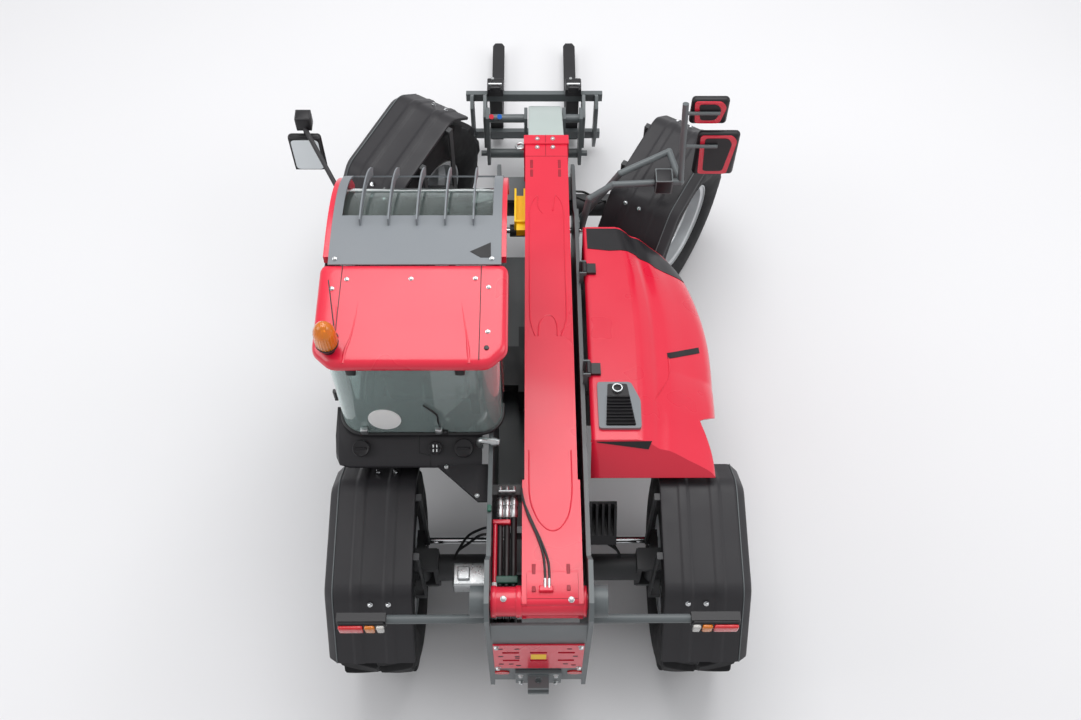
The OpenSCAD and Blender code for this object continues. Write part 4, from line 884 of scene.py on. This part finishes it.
def make_boom():
    """Boom fittings: tail cover, collars, weld lines, pad windows filled with painted shade, seams, bolts,
    a small manifold, its two hoses and a lifting eye."""
    cover = rounded([(0.130, 0.0968), (0.060, 0.0968), (-0.050, 0.0715), (-0.0745, -0.050), (-0.060, -0.050),
                     (-0.040, 0.058), (0.060, 0.084), (0.130, 0.084)], 0.018, 6, True)
    red = [plate(cover, -0.131, 0.131)]
    for a, b in ((-0.315, -0.289), (-0.188, -0.158), (0.160, 0.174)):
        collar = [(a, 0.070), (a, 0.079), (a + 0.003, 0.081), (b - 0.003, 0.081), (b, 0.079), (b, 0.070)]
        red.append(revolve(collar, np.zeros(3), (1, 0, 0), 56))
    red += [tube(spline(on_top(line, -0.0012), 14 * len(line)), 0.0042, 8) for line in BOOM_LINES]
    red.append(pillow((-0.070, 0.004, 0.080), (0.004, 0.036, 0.106), 0.006))
    boom_piece("boom_plate_work", red, "red_enamel", sharp=34)
    # Pad windows as dark red pads sunk in the top, painted shade of their recesses; the tubes are dark seam lines
    dark = []
    for x, a, b in PAD_WINDOWS:
        rise = on_top([(x, (a + b) / 2)], 0.0)[0, 2]
        dark.append(pillow((x - 0.010, a, rise - 0.006), (x + 0.010, b, rise + 0.0012), 0.004))
    for ends in (((-0.143, 3.320), (0.143, 3.320)), ((-0.005, 3.320), (-0.005, 3.530)),
                 ((-0.130, -0.025), (0.130, -0.025))):
        run = on_top(np.linspace(*ends, 12), -0.0006)
        run[:, 2] += HEAD_STEP * (run[:, 1] > HEAD_START)
        dark.append(tube(run, 0.0020, 8))
    boom_piece("boom_window_shade_and_seams", dark, "seam_and_shade_red")
    spots = np.vstack([on_top([(-0.062, 3.488), (0.045, 3.488)], HEAD_STEP),
                       on_top([(-0.062, 3.411), (0.045, 3.411)], 0.0),
                       [(-0.250, -0.023, 0.0722), (0.095, -0.030, 0.0755)]])
    normals = np.array([UP] * 4 + [(0.0, -0.27, 0.96)] * 2)
    heads = bolts(spots @ BOOM_FRAME.T + pin("boom_lift"), normals @ BOOM_FRAME.T, 0.026, 0.010)
    metal, hoses = [], []
    for path in BOOM_HOSES:
        end = on_top(path[-1:], 0.009)[0]
        metal.append(tube([end + (0, -0.022, -0.002), end + (0, 0.030, 0.0)], 0.0078, 10))
        tail = [(-0.1480, path[0][1] + 0.13, 0.045), (-0.1560, path[0][1] + 0.05, 0.082)]
        hoses.append(tube(spline(np.vstack([tail, on_top(path, 0.0075)]), 60), 0.0062, 10))
    eye = np.column_stack([oval(-0.178, 3.490, 0.030, 0.030, 27), np.full(27, 0.040)])
    metal.append(grid(tube(eye, 0.0105, 12)[0], wrap_rows=True, wrap_cols=True))
    piece("boom_bright_fittings", heads + [on_boom(part) for part in metal], "zinc_plate", "boom")
    boom_piece("boom_small_hoses", hoses, "hose_rubber")


def make_roof_details():
    """Roof seams, creases, bolts and grommet, and the vent of the guard's plate."""
    top = ROOF_TOP + 0.0025
    seams = [[(-1.006, 0.940), (-1.010, 0.560), (-1.013, 0.420)], [(-0.292, 0.940), (-0.294, 0.378)]]
    dark = [tube([(x, y, top - 0.0004) for x, y in line], 0.0022, 8) for line in seams]
    dark.append(revolve([(0.0, 0.013), (0.005, 0.012), (0.007, 0.006)], (-0.257, 0.445, top), UP, 20))
    axle_piece("roof_seams", dark, "black_paint")
    creases = []
    for side in ((-0.907, -0.928, -0.952, -0.964), (-0.393, -0.360, -0.348, -0.341)):
        heights = top - np.array([1, 1.5, 2, 17]) * MM
        run = spline(np.column_stack([side, (0.735, 0.533, 0.440, 0.366), heights]), 30)
        creases.append(tube(run, np.linspace(0.0008, 0.0120, 30), 14))
    axle_piece("roof_creases", creases, "red_enamel")
    spots = [(-0.978, 0.855, top), (-0.650, 0.858, top), (-0.321, 0.860, top), (-1.049, 0.798, top),
             (-0.252, 0.806, top), (-0.252, 0.539, top), (-1.051, 0.985, top - 0.001),
             (-0.239, 0.985, top - 0.001)]
    axle_piece("roof_bolts", bolts(spots, UP, 0.020, 0.008), "zinc_plate")
    # Dark sheet on the guard plate's vent: painted shade of its opening
    vent = [(-0.353, 1.030), (-0.246, 1.088), (-0.244, 0.992), (-0.297, 0.992)]
    axle_piece("guard_vent_shade", [plate(vent, ROOF_TOP - 0.003, ROOF_TOP + 0.0015, 2)], "soot_seam_and_shade_black")


PANE_THICK = 0.008
# Rear pane: its back, the radius of its corners, the front ends of its flanks and its lower edge
PANE_BACK = 0.470
PANE_ROUND = 0.130
PANE_FRONT = 0.655
PANE_LOW = 1.490


def window_path(inset):
    """Plan of the rear glass: straight flanks joined to the back by quarter circles, drawn in by inset."""
    x0, x1 = -CAB_LEFT + 0.002 + inset, -CAB_RIGHT - 0.002 - inset
    y0, r = PANE_BACK + inset, PANE_ROUND - inset
    a = np.linspace(0, np.pi / 2, 16)
    right = np.stack([x1 - r + r * np.cos(a), y0 + r - r * np.sin(a)], 1)
    left = np.stack([x0 + r - r * np.sin(a), y0 + r - r * np.cos(a)], 1)
    return np.vstack([[(x1, PANE_FRONT)], right, left, [(x0, PANE_FRONT)]])


def make_glass():
    """Rear glass bent round both corners and the windscreen along the cab's front curve, with seals,
    hinges, latches, wiper and a blank oval sign."""
    around = np.vstack([window_path(0.0), window_path(PANE_THICK)[::-1]])
    pane = plate(around, PANE_LOW, ROOF_UNDER, 2)
    axle_piece("rear_glass", [pane], "rear_glass", replaces=["rear_window"], sharp=30)
    parts = []
    for first, last, right in ((2.0, 77.2, CAB_RIGHT + 0.004), (77.2, 90.0, 0.289)):
        angles = np.linspace(first, last, 60)
        strip = np.vstack([front_curve(0.0, angles), front_curve(PANE_THICK, angles)[::-1]])
        parts.append(plate(strip, -CAB_LEFT + 0.004, -right))
    axle_piece("front_glass", parts, "clear_glass", replaces=["windscreen"], sharp=30)
    plan = window_path(-0.003)
    seal = [tube(np.column_stack([plan, np.full(len(plan), z)]), 0.012, 10) for z in (1.500, 2.388)]
    seal += [pillow((x - 0.026, 0.440, 2.200), (x + 0.026, 0.474, 2.330), 0.008) for x in (-0.961, -0.402)]
    seal.append(pillow((-0.378, 0.600, PANE_LOW), (-0.330, 0.650, ROOF_UNDER), 0.008))
    arm = [(-0.540, 0.462, 1.520), (-0.552, 0.456, 1.663), (-0.556, 0.456, 1.748), (-0.620, 0.458, 1.851)]
    seal.append(tube(spline(arm, 24), 0.0055, 8))
    seal.append(pillow((-0.575, 0.452, 1.500), (-0.505, 0.478, 1.540), 0.008))
    axle_piece("window_rubber", seal, "hose_rubber", slot="black_plastic")
    latches = [pillow((x - 0.020, 0.440, 1.535), (x + 0.020, 0.470, 1.585), 0.006) for x in (-0.972, -0.555)]
    axle_piece("window_latches", latches, "zinc_plate")
    axle_piece("blank_sign", [plate(oval(-0.848, 1.668, 0.091, 0.115, 48), 0.4675, 0.4695, 1)], "white_film")


def make_tank_details():
    """Filler caps with grip ribs on the tank's slope, wing bolts, a bright elbow pipe, a valve box and the
    tank's seam."""
    tilt = math.radians(29)
    axis = np.array([0.0, -math.sin(tilt), math.cos(tilt)])
    row = np.array([0.0, 0.412, 1.428])
    caps = []
    for x, r in ((-1.000, 0.046), (-0.580, 0.036), (-0.420, 0.052)):
        centre = row + (x, 0, 0) + axis * 0.033
        cap = [(0.0, r + 0.002), (0.006, r + 0.003), (0.011, r - 0.002), (0.008, r - 0.007), (0.008, 0.001)]
        caps.append(revolve(cap, centre, axis, 40))
        grip = [centre + axis * 0.010 + (s * 0.62 * r, 0, 0) for s in np.linspace(-1, 1, 5)]
        caps.append(tube(grip, 0.0065, 8))
    axle_piece("filler_caps", caps, "smooth_plastic")
    slide = np.cross(axis, [1.0, 0.0, 0.0]) * 0.020
    bright = []
    for x in (-0.590, -0.570):
        middle = row + (x, 0, 0) + axis * 0.0435
        bright.append(tube([middle - slide, middle + slide], 0.0042, 8))
    pipe = [(-0.330, 0.435, 1.400), (-0.328, 0.420, 1.490), (-0.305, 0.412, 1.520), (-0.215, 0.398, 1.522)]
    bright.append(tube(spline(pipe, 30), 0.019, 16))
    bright.append(revolve([(0.0, 0.024), (0.030, 0.024)], (-0.262, 0.405, 1.522), (1, -0.15, 0), 24))
    bright += bolts([(-0.520, 0.318, 1.374), (-0.342, 0.140, 1.374)], UP, 0.022, 0.009)
    bright.append(pillow((-0.500, -0.200, 0.730), (-0.276, -0.060, 0.860), 0.012))
    bright.append(pillow((-0.470, -0.170, 0.858), (-0.400, -0.090, 0.885), 0.006))
    axle_piece("bright_pipe_and_valve", bright, "zinc_plate")
    seam = rounded([(-0.676, 0.475, 1.4663), (-0.676, 0.385, 1.4169), (-0.610, 0.372, 1.4098),
                    (-0.610, 0.346, 1.3955), (-0.610, 0.325, 1.368), (-0.610, 0.325, 1.351)], 0.010, 5)
    axle_piece("tank_seam", [tube(seam, 0.0028, 8)], "soot_seam_and_shade_black")


def make_hose_fittings():
    """Turned fittings on the three thick hoses, their clamp, and the red banded bar beside them."""
    turned = [(0.0, 0.014), (0.0, 0.0195), (0.020, 0.0195), (0.022, 0.0240), (0.048, 0.0240), (0.050, 0.0185),
              (0.066, 0.0185), (0.070, 0.0225), (0.104, 0.0225), (0.118, 0.0180)]
    hoses = (-0.207, -0.170, -0.133)
    bright = [revolve(turned, (x, 0.090, 1.450), (0, -1, 0), 24) for x in hoses]
    for x in hoses:
        bright.append(tube(spline([(x, 0.120, 1.495), (x, 0.120, 1.525), (x, 0.095, 1.535)], 10), 0.010, 10))
    bright.append(tube([(-0.215, 0.095, 1.535), (-0.125, 0.095, 1.535)], 0.007, 10))
    axle_piece("hose_fittings", bright, "zinc_plate")
    clamps = [pillow((-0.232, -0.410, 1.424), (-0.108, -0.366, 1.476), 0.008),
              pillow((-0.276, -0.034, 1.535), (-0.253, 0.004, 1.566), 0.005)]
    axle_piece("hose_clamps", clamps, "green_clamp")

    def bar(first, last, radius):
        return tube([(-0.234, first, 1.466), (-0.234, last, 1.466)], radius)

    foot = pillow((-0.249, -0.075, 1.440), (-0.150, -0.048, 1.485), 0.006)
    axle_piece("banded_bar", [bar(-0.060, -0.470, 0.0125), foot], "red_enamel")
    axle_piece("bar_band", [bar(-0.405, -0.448, 0.0145)], "white_film")


# Small openings in the red rear panel, right and up
PANEL_SLOTS = ((-0.205, 1.262), (-0.115, 1.262), (-0.205, 1.128), (-0.115, 1.128), (-0.115, 1.098),
               (-0.205, 0.985), (-0.150, 0.985), (-0.110, 0.955), (0.165, 1.262), (0.200, 1.128),
               (0.150, 0.985), (0.195, 0.962))


def make_rear_details():
    """Blank label, reflectors, dark sheets of painted shade in the panel openings, and bolts on the rear."""
    back = -0.700
    label = rectangle(-0.042, 1.080, 0.042, 1.165, 0.006)
    axle_piece("blank_label", [plate(label, back - 0.0015, back + 0.001, 1)], "yellow_paint")
    eyes = [plate(oval(x, 0.800, 0.042, 0.026, 36), -0.699, -0.689, 1) for x in (-0.205, 0.205)]
    axle_piece("rear_reflectors", eyes, "red_lens")
    # Dark sheets flush with the rear panel: painted shade of its small openings
    slots = []
    for x, z in PANEL_SLOTS:
        slot = rectangle(x - 0.014, z - 0.008, x + 0.014, z + 0.008, 0.007)
        slots.append(plate(slot, back - 0.0008, back + 0.001, 1))
    axle_piece("panel_slot_shade", slots, "soot_seam_and_shade_black")
    spots = [(x, -0.715, z) for x in (-0.100, 0.100) for z in (0.682, 0.818)]
    spots += [(x, back, z) for x in (-0.225, 0.225) for z in (0.920, 1.305)]
    axle_piece("rear_bolts", bolts(spots, (0.0, -1.0, 0.0), 0.026, 0.014), "zinc_plate")


def make_axle_hoses():
    """Brake and steering hoses from the side plates down to the axles, drooping in smooth curves."""
    runs = []
    front = float(pin("steer_fr")[1] - REAR_AXLE[1])
    for y, step in ((0.0, 1), (front, -1)):
        for s in (-1, 1):
            for k in (0, 1):
                a = y + step * (0.10 + 0.05 * k)
                path = [(s * 0.278, a, 0.900), (s * 0.340, a, 0.890 - 0.03 * k),
                        (s * 0.420, a - step * 0.02, 0.800), (s * 0.480, y + step * 0.06, 0.740),
                        (s * 0.500, y + step * 0.03, 0.700)]
                runs.append(tube(spline(path, 40), 0.008, 10))
    axle_piece("axle_hoses", runs, "hose_rubber")


def make_headlamp():
    """Headlamp on the mirror guard: black housing and a pale lens ahead."""
    low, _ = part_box("mirrors_right")
    x, y = low[0] - 0.188, low[1] - 0.1483
    housing = pillow((x - 0.002, y - 0.002, 1.378), (x + 0.112, y + 0.112, 1.507), 0.016)
    piece("headlamp_housing", [housing], "smooth_plastic")
    lens = pillow((x + 0.010, y + 0.100, 1.392), (x + 0.100, y + 0.118, 1.493), 0.008)
    piece("headlamp_lens", [lens], "pale_lens")


def make_mirrors():
    """Mirror shells with round edges: bright glass on the left, red and black faces on the right."""
    low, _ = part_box("mirror_left")
    x0, y0 = low[0], REAR_AXLE[1] + 2.200
    glass = rectangle(x0 + 0.012, 1.732, x0 + 0.178, 1.998, 0.03, 6)
    piece("mirror_left_glass", [plate(glass, y0 - 0.006, y0 + 0.002, 1)], "mirror_glass")
    shell = [pillow((x0 - 0.006, y0 - 0.003, 1.714), (x0 + 0.196, y0 + 0.048, 2.016), 0.024),
             pillow((x0 + 0.058, y0 + 0.023, 2.048), (x0 + 0.152, y0 + 0.102, 2.152), 0.016)]
    piece("mirror_left_shell", shell, "smooth_plastic")
    low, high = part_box("mirrors_right")
    right, far = high[0], high[1]
    boxes = [((right - 0.332, far - 0.025, 1.810), (right - 0.095, far + 0.030, 2.030)),
             ((right - 0.270, low[1], 1.390), (right, low[1] + 0.055, 1.785))]
    reds, blacks = [], []
    for a, b in boxes:
        for inset, depth, store in ((0.016, 0.0015, reds), (0.046, 0.0035, blacks)):
            x0, x1, z0, z1 = a[0] + inset, b[0] - inset, a[2] + inset, b[2] - 0.7 * inset
            face = [(x0 + 0.02, z0), (x1 - 0.03, z0), (x1, z1 - 0.05), (x1 - 0.03, z1), (x0, z1)]
            store.append(plate(rounded(face, 0.025, 6, True), a[1] - depth, a[1] + 0.004, 1))
    shells = [pillow(a, b, 0.026) for a, b in boxes]
    piece("mirror_right_shells", shells, "smooth_plastic", replaces=["mirrors_right"])
    piece("mirror_right_faces", reds, "red_enamel")
    piece("mirror_right_panels", blacks, "smooth_plastic")


def make_carriage_details():
    """Fork hooks with lock pins, and two capped couplers on the hitch."""
    hooks, pins = [], []
    for x in (-0.310, 0.290):
        hooks.append(pillow((x - 0.062, 3.812, 0.640), (x + 0.062, 3.935, 0.722), 0.010))
        hooks.append(pillow((x - 0.040, 3.800, 0.700), (x + 0.040, 3.870, 0.752), 0.010))
        pins.append(tube([(x - 0.050, 3.835, 0.757), (x + 0.050, 3.835, 0.757)], 0.011, 12))
        pins.append(tube([(x - 0.020, 3.905, 0.716), (x - 0.020, 3.905, 0.748)], 0.012, 12))
    axle_piece("fork_hooks", hooks, "black_paint", "carriage", "fork_steel")
    couplers = ((-0.330, "red_enamel", "coupler_cap_red"), (-0.270, "signal_blue", "coupler_cap_blue"))
    pins += [tube([(x, 3.540, 0.705), (x, 3.490, 0.770)], 0.014, 14) for x, _, _ in couplers]
    axle_piece("carriage_pins", pins, "zinc_plate", "carriage")
    for x, finish, name in couplers:
        axle_piece(name, [tube([(x, 3.492, 0.768), (x, 3.462, 0.806)], 0.018, 16)], finish, "carriage")


def make_door_handle():
    """Pull handle on the door's middle bar."""
    path = [(-1.134, 1.520, 1.400), (-1.172, 1.520, 1.400), (-1.172, 1.660, 1.400), (-1.134, 1.660, 1.400)]
    axle_piece("door_handle", [tube(rounded(path, 0.02, 6), 0.010, 12)], "smooth_plastic", "door")


# Finish of the solids in each material slot, where it isn't called like the slot
FINISH_OF = {"red_paint": "red_enamel", "grey_paint": "frame_paint", "guard_grey_paint": "guard_powder_coat",
             "black_plastic": "grained_plastic", "axle_iron": "cast_iron", "rim_paint": "rim_lacquer",
             "rod_chrome": "hard_chrome", "fork_steel": "black_paint", "lamp_red": "red_lens",
             "beacon_amber": "amber_lens"}
# Solids with round edges, and their radius as a multiple of the usual one
ROUND_EDGES = {"chassis_frame": 1.0, "boom_outer": 2.4, "boom_inner": 1.6, "quick_hitch": 0.8,
               "fork_carriage": 0.8, "forks": 0.8, "rear_panel": 0.5, "tow_hitch": 0.8, "cab_frame": 1.2,
               "roof_guard": 0.3, "door": 0.8, "tank": 3.0, "cab_step": 0.4, "lamp_bars": 0.8,
               "engine_block": 4.0}


def make_solid_finishes(sizes):
    """Gives every solid node its finish, and rounds the edges of the plate work."""
    for row in frame["record"]["subparts"]:
        name, slot = row["node"], row["material_slot"]
        node = frame["nodes"][name]
        node.data.materials.clear()
        finish = "lamp_bar_paint" if name == "lamp_bars" else FINISH_OF.get(slot, slot)
        node.data.materials.append(FINISH[finish])
        if name in ROUND_EDGES:
            weld = node.modifiers.new("weld", "WELD")
            weld.merge_threshold = 5e-5
            edge = node.modifiers.new("edge", "BEVEL")
            edge.width = sizes.edge_round * ROUND_EDGES[name]
            edge.segments = 3
            edge.limit_method = "ANGLE"
            edge.angle_limit = math.radians(35)
            shade = node.modifiers.new("shade", "WEIGHTED_NORMAL")
            shade.weight = 60


# Camera as fitted to the photo: its place from under the rear axle, its angles, its focal length and the
# width of its frame in pixels, and a sensor that both are scaled to
CAMERA_PLACE = (-0.035, -2.566, 7.461)
CAMERA_DOWN = math.radians(59.48)
CAMERA_YAW = math.radians(0.86)
CAMERA_ROLL = math.radians(-0.63)
FOCAL_PIXELS = 1180
FRAME_PIXELS = 1081
SENSOR_MM = 36.0


def make_stage(colours):
    """Pale floor, soft light from above and the camera behind and above the machine."""
    scene = bpy.context.scene
    mesh = bpy.data.meshes.new("floor")
    reach = 60.0
    mesh.from_pydata([(-reach, -reach, 0), (reach, -reach, 0), (reach, reach, 0), (-reach, reach, 0)], [],
                     [(0, 1, 2, 3)])
    floor = bpy.data.objects.new("floor", mesh)
    scene.collection.objects.link(floor)
    mesh.materials.append(coat("studio_floor", tuple(colours.ground), 0.85, 900, 30, 0.0, 0.004))
    world = bpy.data.worlds.new("studio")
    scene.world = world
    world.use_nodes = True
    tree = world.node_tree
    tree.nodes.clear()
    backdrop = add(tree, "ShaderNodeBackground", {"Color": (*linear("#F0F0F1"), 1), "Strength": 0.72})
    add(tree, "ShaderNodeOutputWorld", {"Surface": backdrop.outputs[0]})
    lamps = [("softbox_top", (0.4, 2.2, 9.0), (0.0, 0.2, 0.8), 7.0, 520),
             ("softbox_left", (-8.0, -2.0, 6.0), (0.0, 0.0, 1.0), 5.0, 200),
             ("softbox_right", (8.0, -1.0, 6.0), (0.0, 0.0, 1.0), 5.0, 160)]
    for name, place, target, size, power in lamps:
        light = bpy.data.lights.new(name, "AREA")
        light.size = size
        light.energy = power
        lamp = bpy.data.objects.new(name, light)
        scene.collection.objects.link(lamp)
        aim = np.asarray(target, float) - place
        lamp.matrix_world = looking(np.asarray(place, float), aim, 0.0)
    level = math.cos(CAMERA_DOWN)
    aim = np.array([math.sin(CAMERA_YAW) * level, math.cos(CAMERA_YAW) * level, -math.sin(CAMERA_DOWN)])
    lens = bpy.data.cameras.new("camera")
    lens.sensor_width = SENSOR_MM
    lens.lens = SENSOR_MM * FOCAL_PIXELS / FRAME_PIXELS
    lens.clip_end = 200
    camera = bpy.data.objects.new("camera", lens)
    scene.collection.objects.link(camera)
    camera.matrix_world = looking(REAR_AXLE + CAMERA_PLACE, aim, CAMERA_ROLL)
    scene.camera = camera
    scene.view_settings.view_transform = "Standard"


def looking(place, aim, roll):
    """Matrix of a camera or lamp at a place, looking along aim, turned by roll about that line."""
    aim = aim / np.linalg.norm(aim)
    right = np.cross(aim, [0, 0, 1])
    right /= np.linalg.norm(right)
    up = np.cross(right, aim)
    turned_right = math.cos(roll) * right - math.sin(roll) * up
    turned_up = math.sin(roll) * right + math.cos(roll) * up
    matrix = np.eye(4)
    matrix[:3, 0], matrix[:3, 1], matrix[:3, 2], matrix[:3, 3] = turned_right, turned_up, -aim, place
    return Matrix(matrix.tolist())


# Operators, panel and registration


class TELE_OT_finishes(bpy.types.Operator):
    """Make the finishes and put them on the solid nodes"""

    bl_idname = "telehandler.finishes"
    bl_label = "Finishes"

    def execute(self, context):
        FINISH.update(make_finishes(context.scene.telehandler_colours))
        make_solid_finishes(context.scene.telehandler_sizes)
        return {"FINISHED"}


class TELE_OT_hood(bpy.types.Operator):
    """Make the hood and its grille"""

    bl_idname = "telehandler.hood"
    bl_label = "Hood"

    def execute(self, context):
        make_hood(context.scene.telehandler_sizes)
        make_grille()
        return {"FINISHED"}


class TELE_OT_wheels(bpy.types.Operator):
    """Make the tyres and fenders"""

    bl_idname = "telehandler.wheels"
    bl_label = "Wheels"

    def execute(self, context):
        make_fenders(context.scene.telehandler_sizes)
        make_tyres(context.scene.telehandler_sizes)
        return {"FINISHED"}


class TELE_OT_cab(bpy.types.Operator):
    """Make the roof, glass, seat, beacon and door handle"""

    bl_idname = "telehandler.cab"
    bl_label = "Cab"

    def execute(self, context):
        make_roof()
        make_roof_details()
        make_glass()
        make_seat()
        make_beacon()
        make_door_handle()
        return {"FINISHED"}


class TELE_OT_boom(bpy.types.Operator):
    """Make the fittings of the boom and the fork carriage"""

    bl_idname = "telehandler.boom"
    bl_label = "Boom"

    def execute(self, context):
        make_boom()
        make_carriage_details()
        return {"FINISHED"}


class TELE_OT_fittings(bpy.types.Operator):
    """Make the tank, hose, rear, headlamp and mirror fittings"""

    bl_idname = "telehandler.fittings"
    bl_label = "Fittings"

    def execute(self, context):
        make_tank_details()
        make_hose_fittings()
        make_rear_details()
        make_axle_hoses()
        make_headlamp()
        make_mirrors()
        return {"FINISHED"}


class TELE_OT_lamps(bpy.types.Operator):
    """Make the rear lamps"""

    bl_idname = "telehandler.lamps"
    bl_label = "Lamps"

    def execute(self, context):
        make_lamps()
        return {"FINISHED"}


class TELE_OT_stage(bpy.types.Operator):
    """Make the floor, lights and camera"""

    bl_idname = "telehandler.stage"
    bl_label = "Stage"

    def execute(self, context):
        make_stage(context.scene.telehandler_colours)
        return {"FINISHED"}


OPERATORS = (TELE_OT_stage, TELE_OT_finishes, TELE_OT_hood, TELE_OT_wheels, TELE_OT_cab, TELE_OT_boom,
             TELE_OT_fittings, TELE_OT_lamps)


class TELE_PT_panel(bpy.types.Panel):
    """Sidebar list of the pieces"""

    bl_label = "Telehandler"
    bl_idname = "TELE_PT_panel"
    bl_space_type = "VIEW_3D"
    bl_region_type = "UI"
    bl_category = "Telehandler"

    def draw(self, context):
        for operator in OPERATORS:
            self.layout.operator(operator.bl_idname)


CLASSES = (TelehandlerColours, TelehandlerSizes, *OPERATORS, TELE_PT_panel)


def register():
    """Adds the classes and the settings."""
    for cls in CLASSES:
        bpy.utils.register_class(cls)
    bpy.types.Scene.telehandler_colours = bpy.props.PointerProperty(type=TelehandlerColours)
    bpy.types.Scene.telehandler_sizes = bpy.props.PointerProperty(type=TelehandlerSizes)


def unregister():
    """Takes them away again."""
    del bpy.types.Scene.telehandler_colours
    del bpy.types.Scene.telehandler_sizes
    for cls in reversed(CLASSES):
        bpy.utils.unregister_class(cls)


def main():
    """Builds everything in order."""
    register()
    bpy.ops.telehandler.stage()
    bpy.ops.telehandler.finishes()
    bpy.ops.telehandler.hood()
    bpy.ops.telehandler.wheels()
    bpy.ops.telehandler.cab()
    bpy.ops.telehandler.boom()
    bpy.ops.telehandler.fittings()
    bpy.ops.telehandler.lamps()


if __name__ == "__main__":
    main()
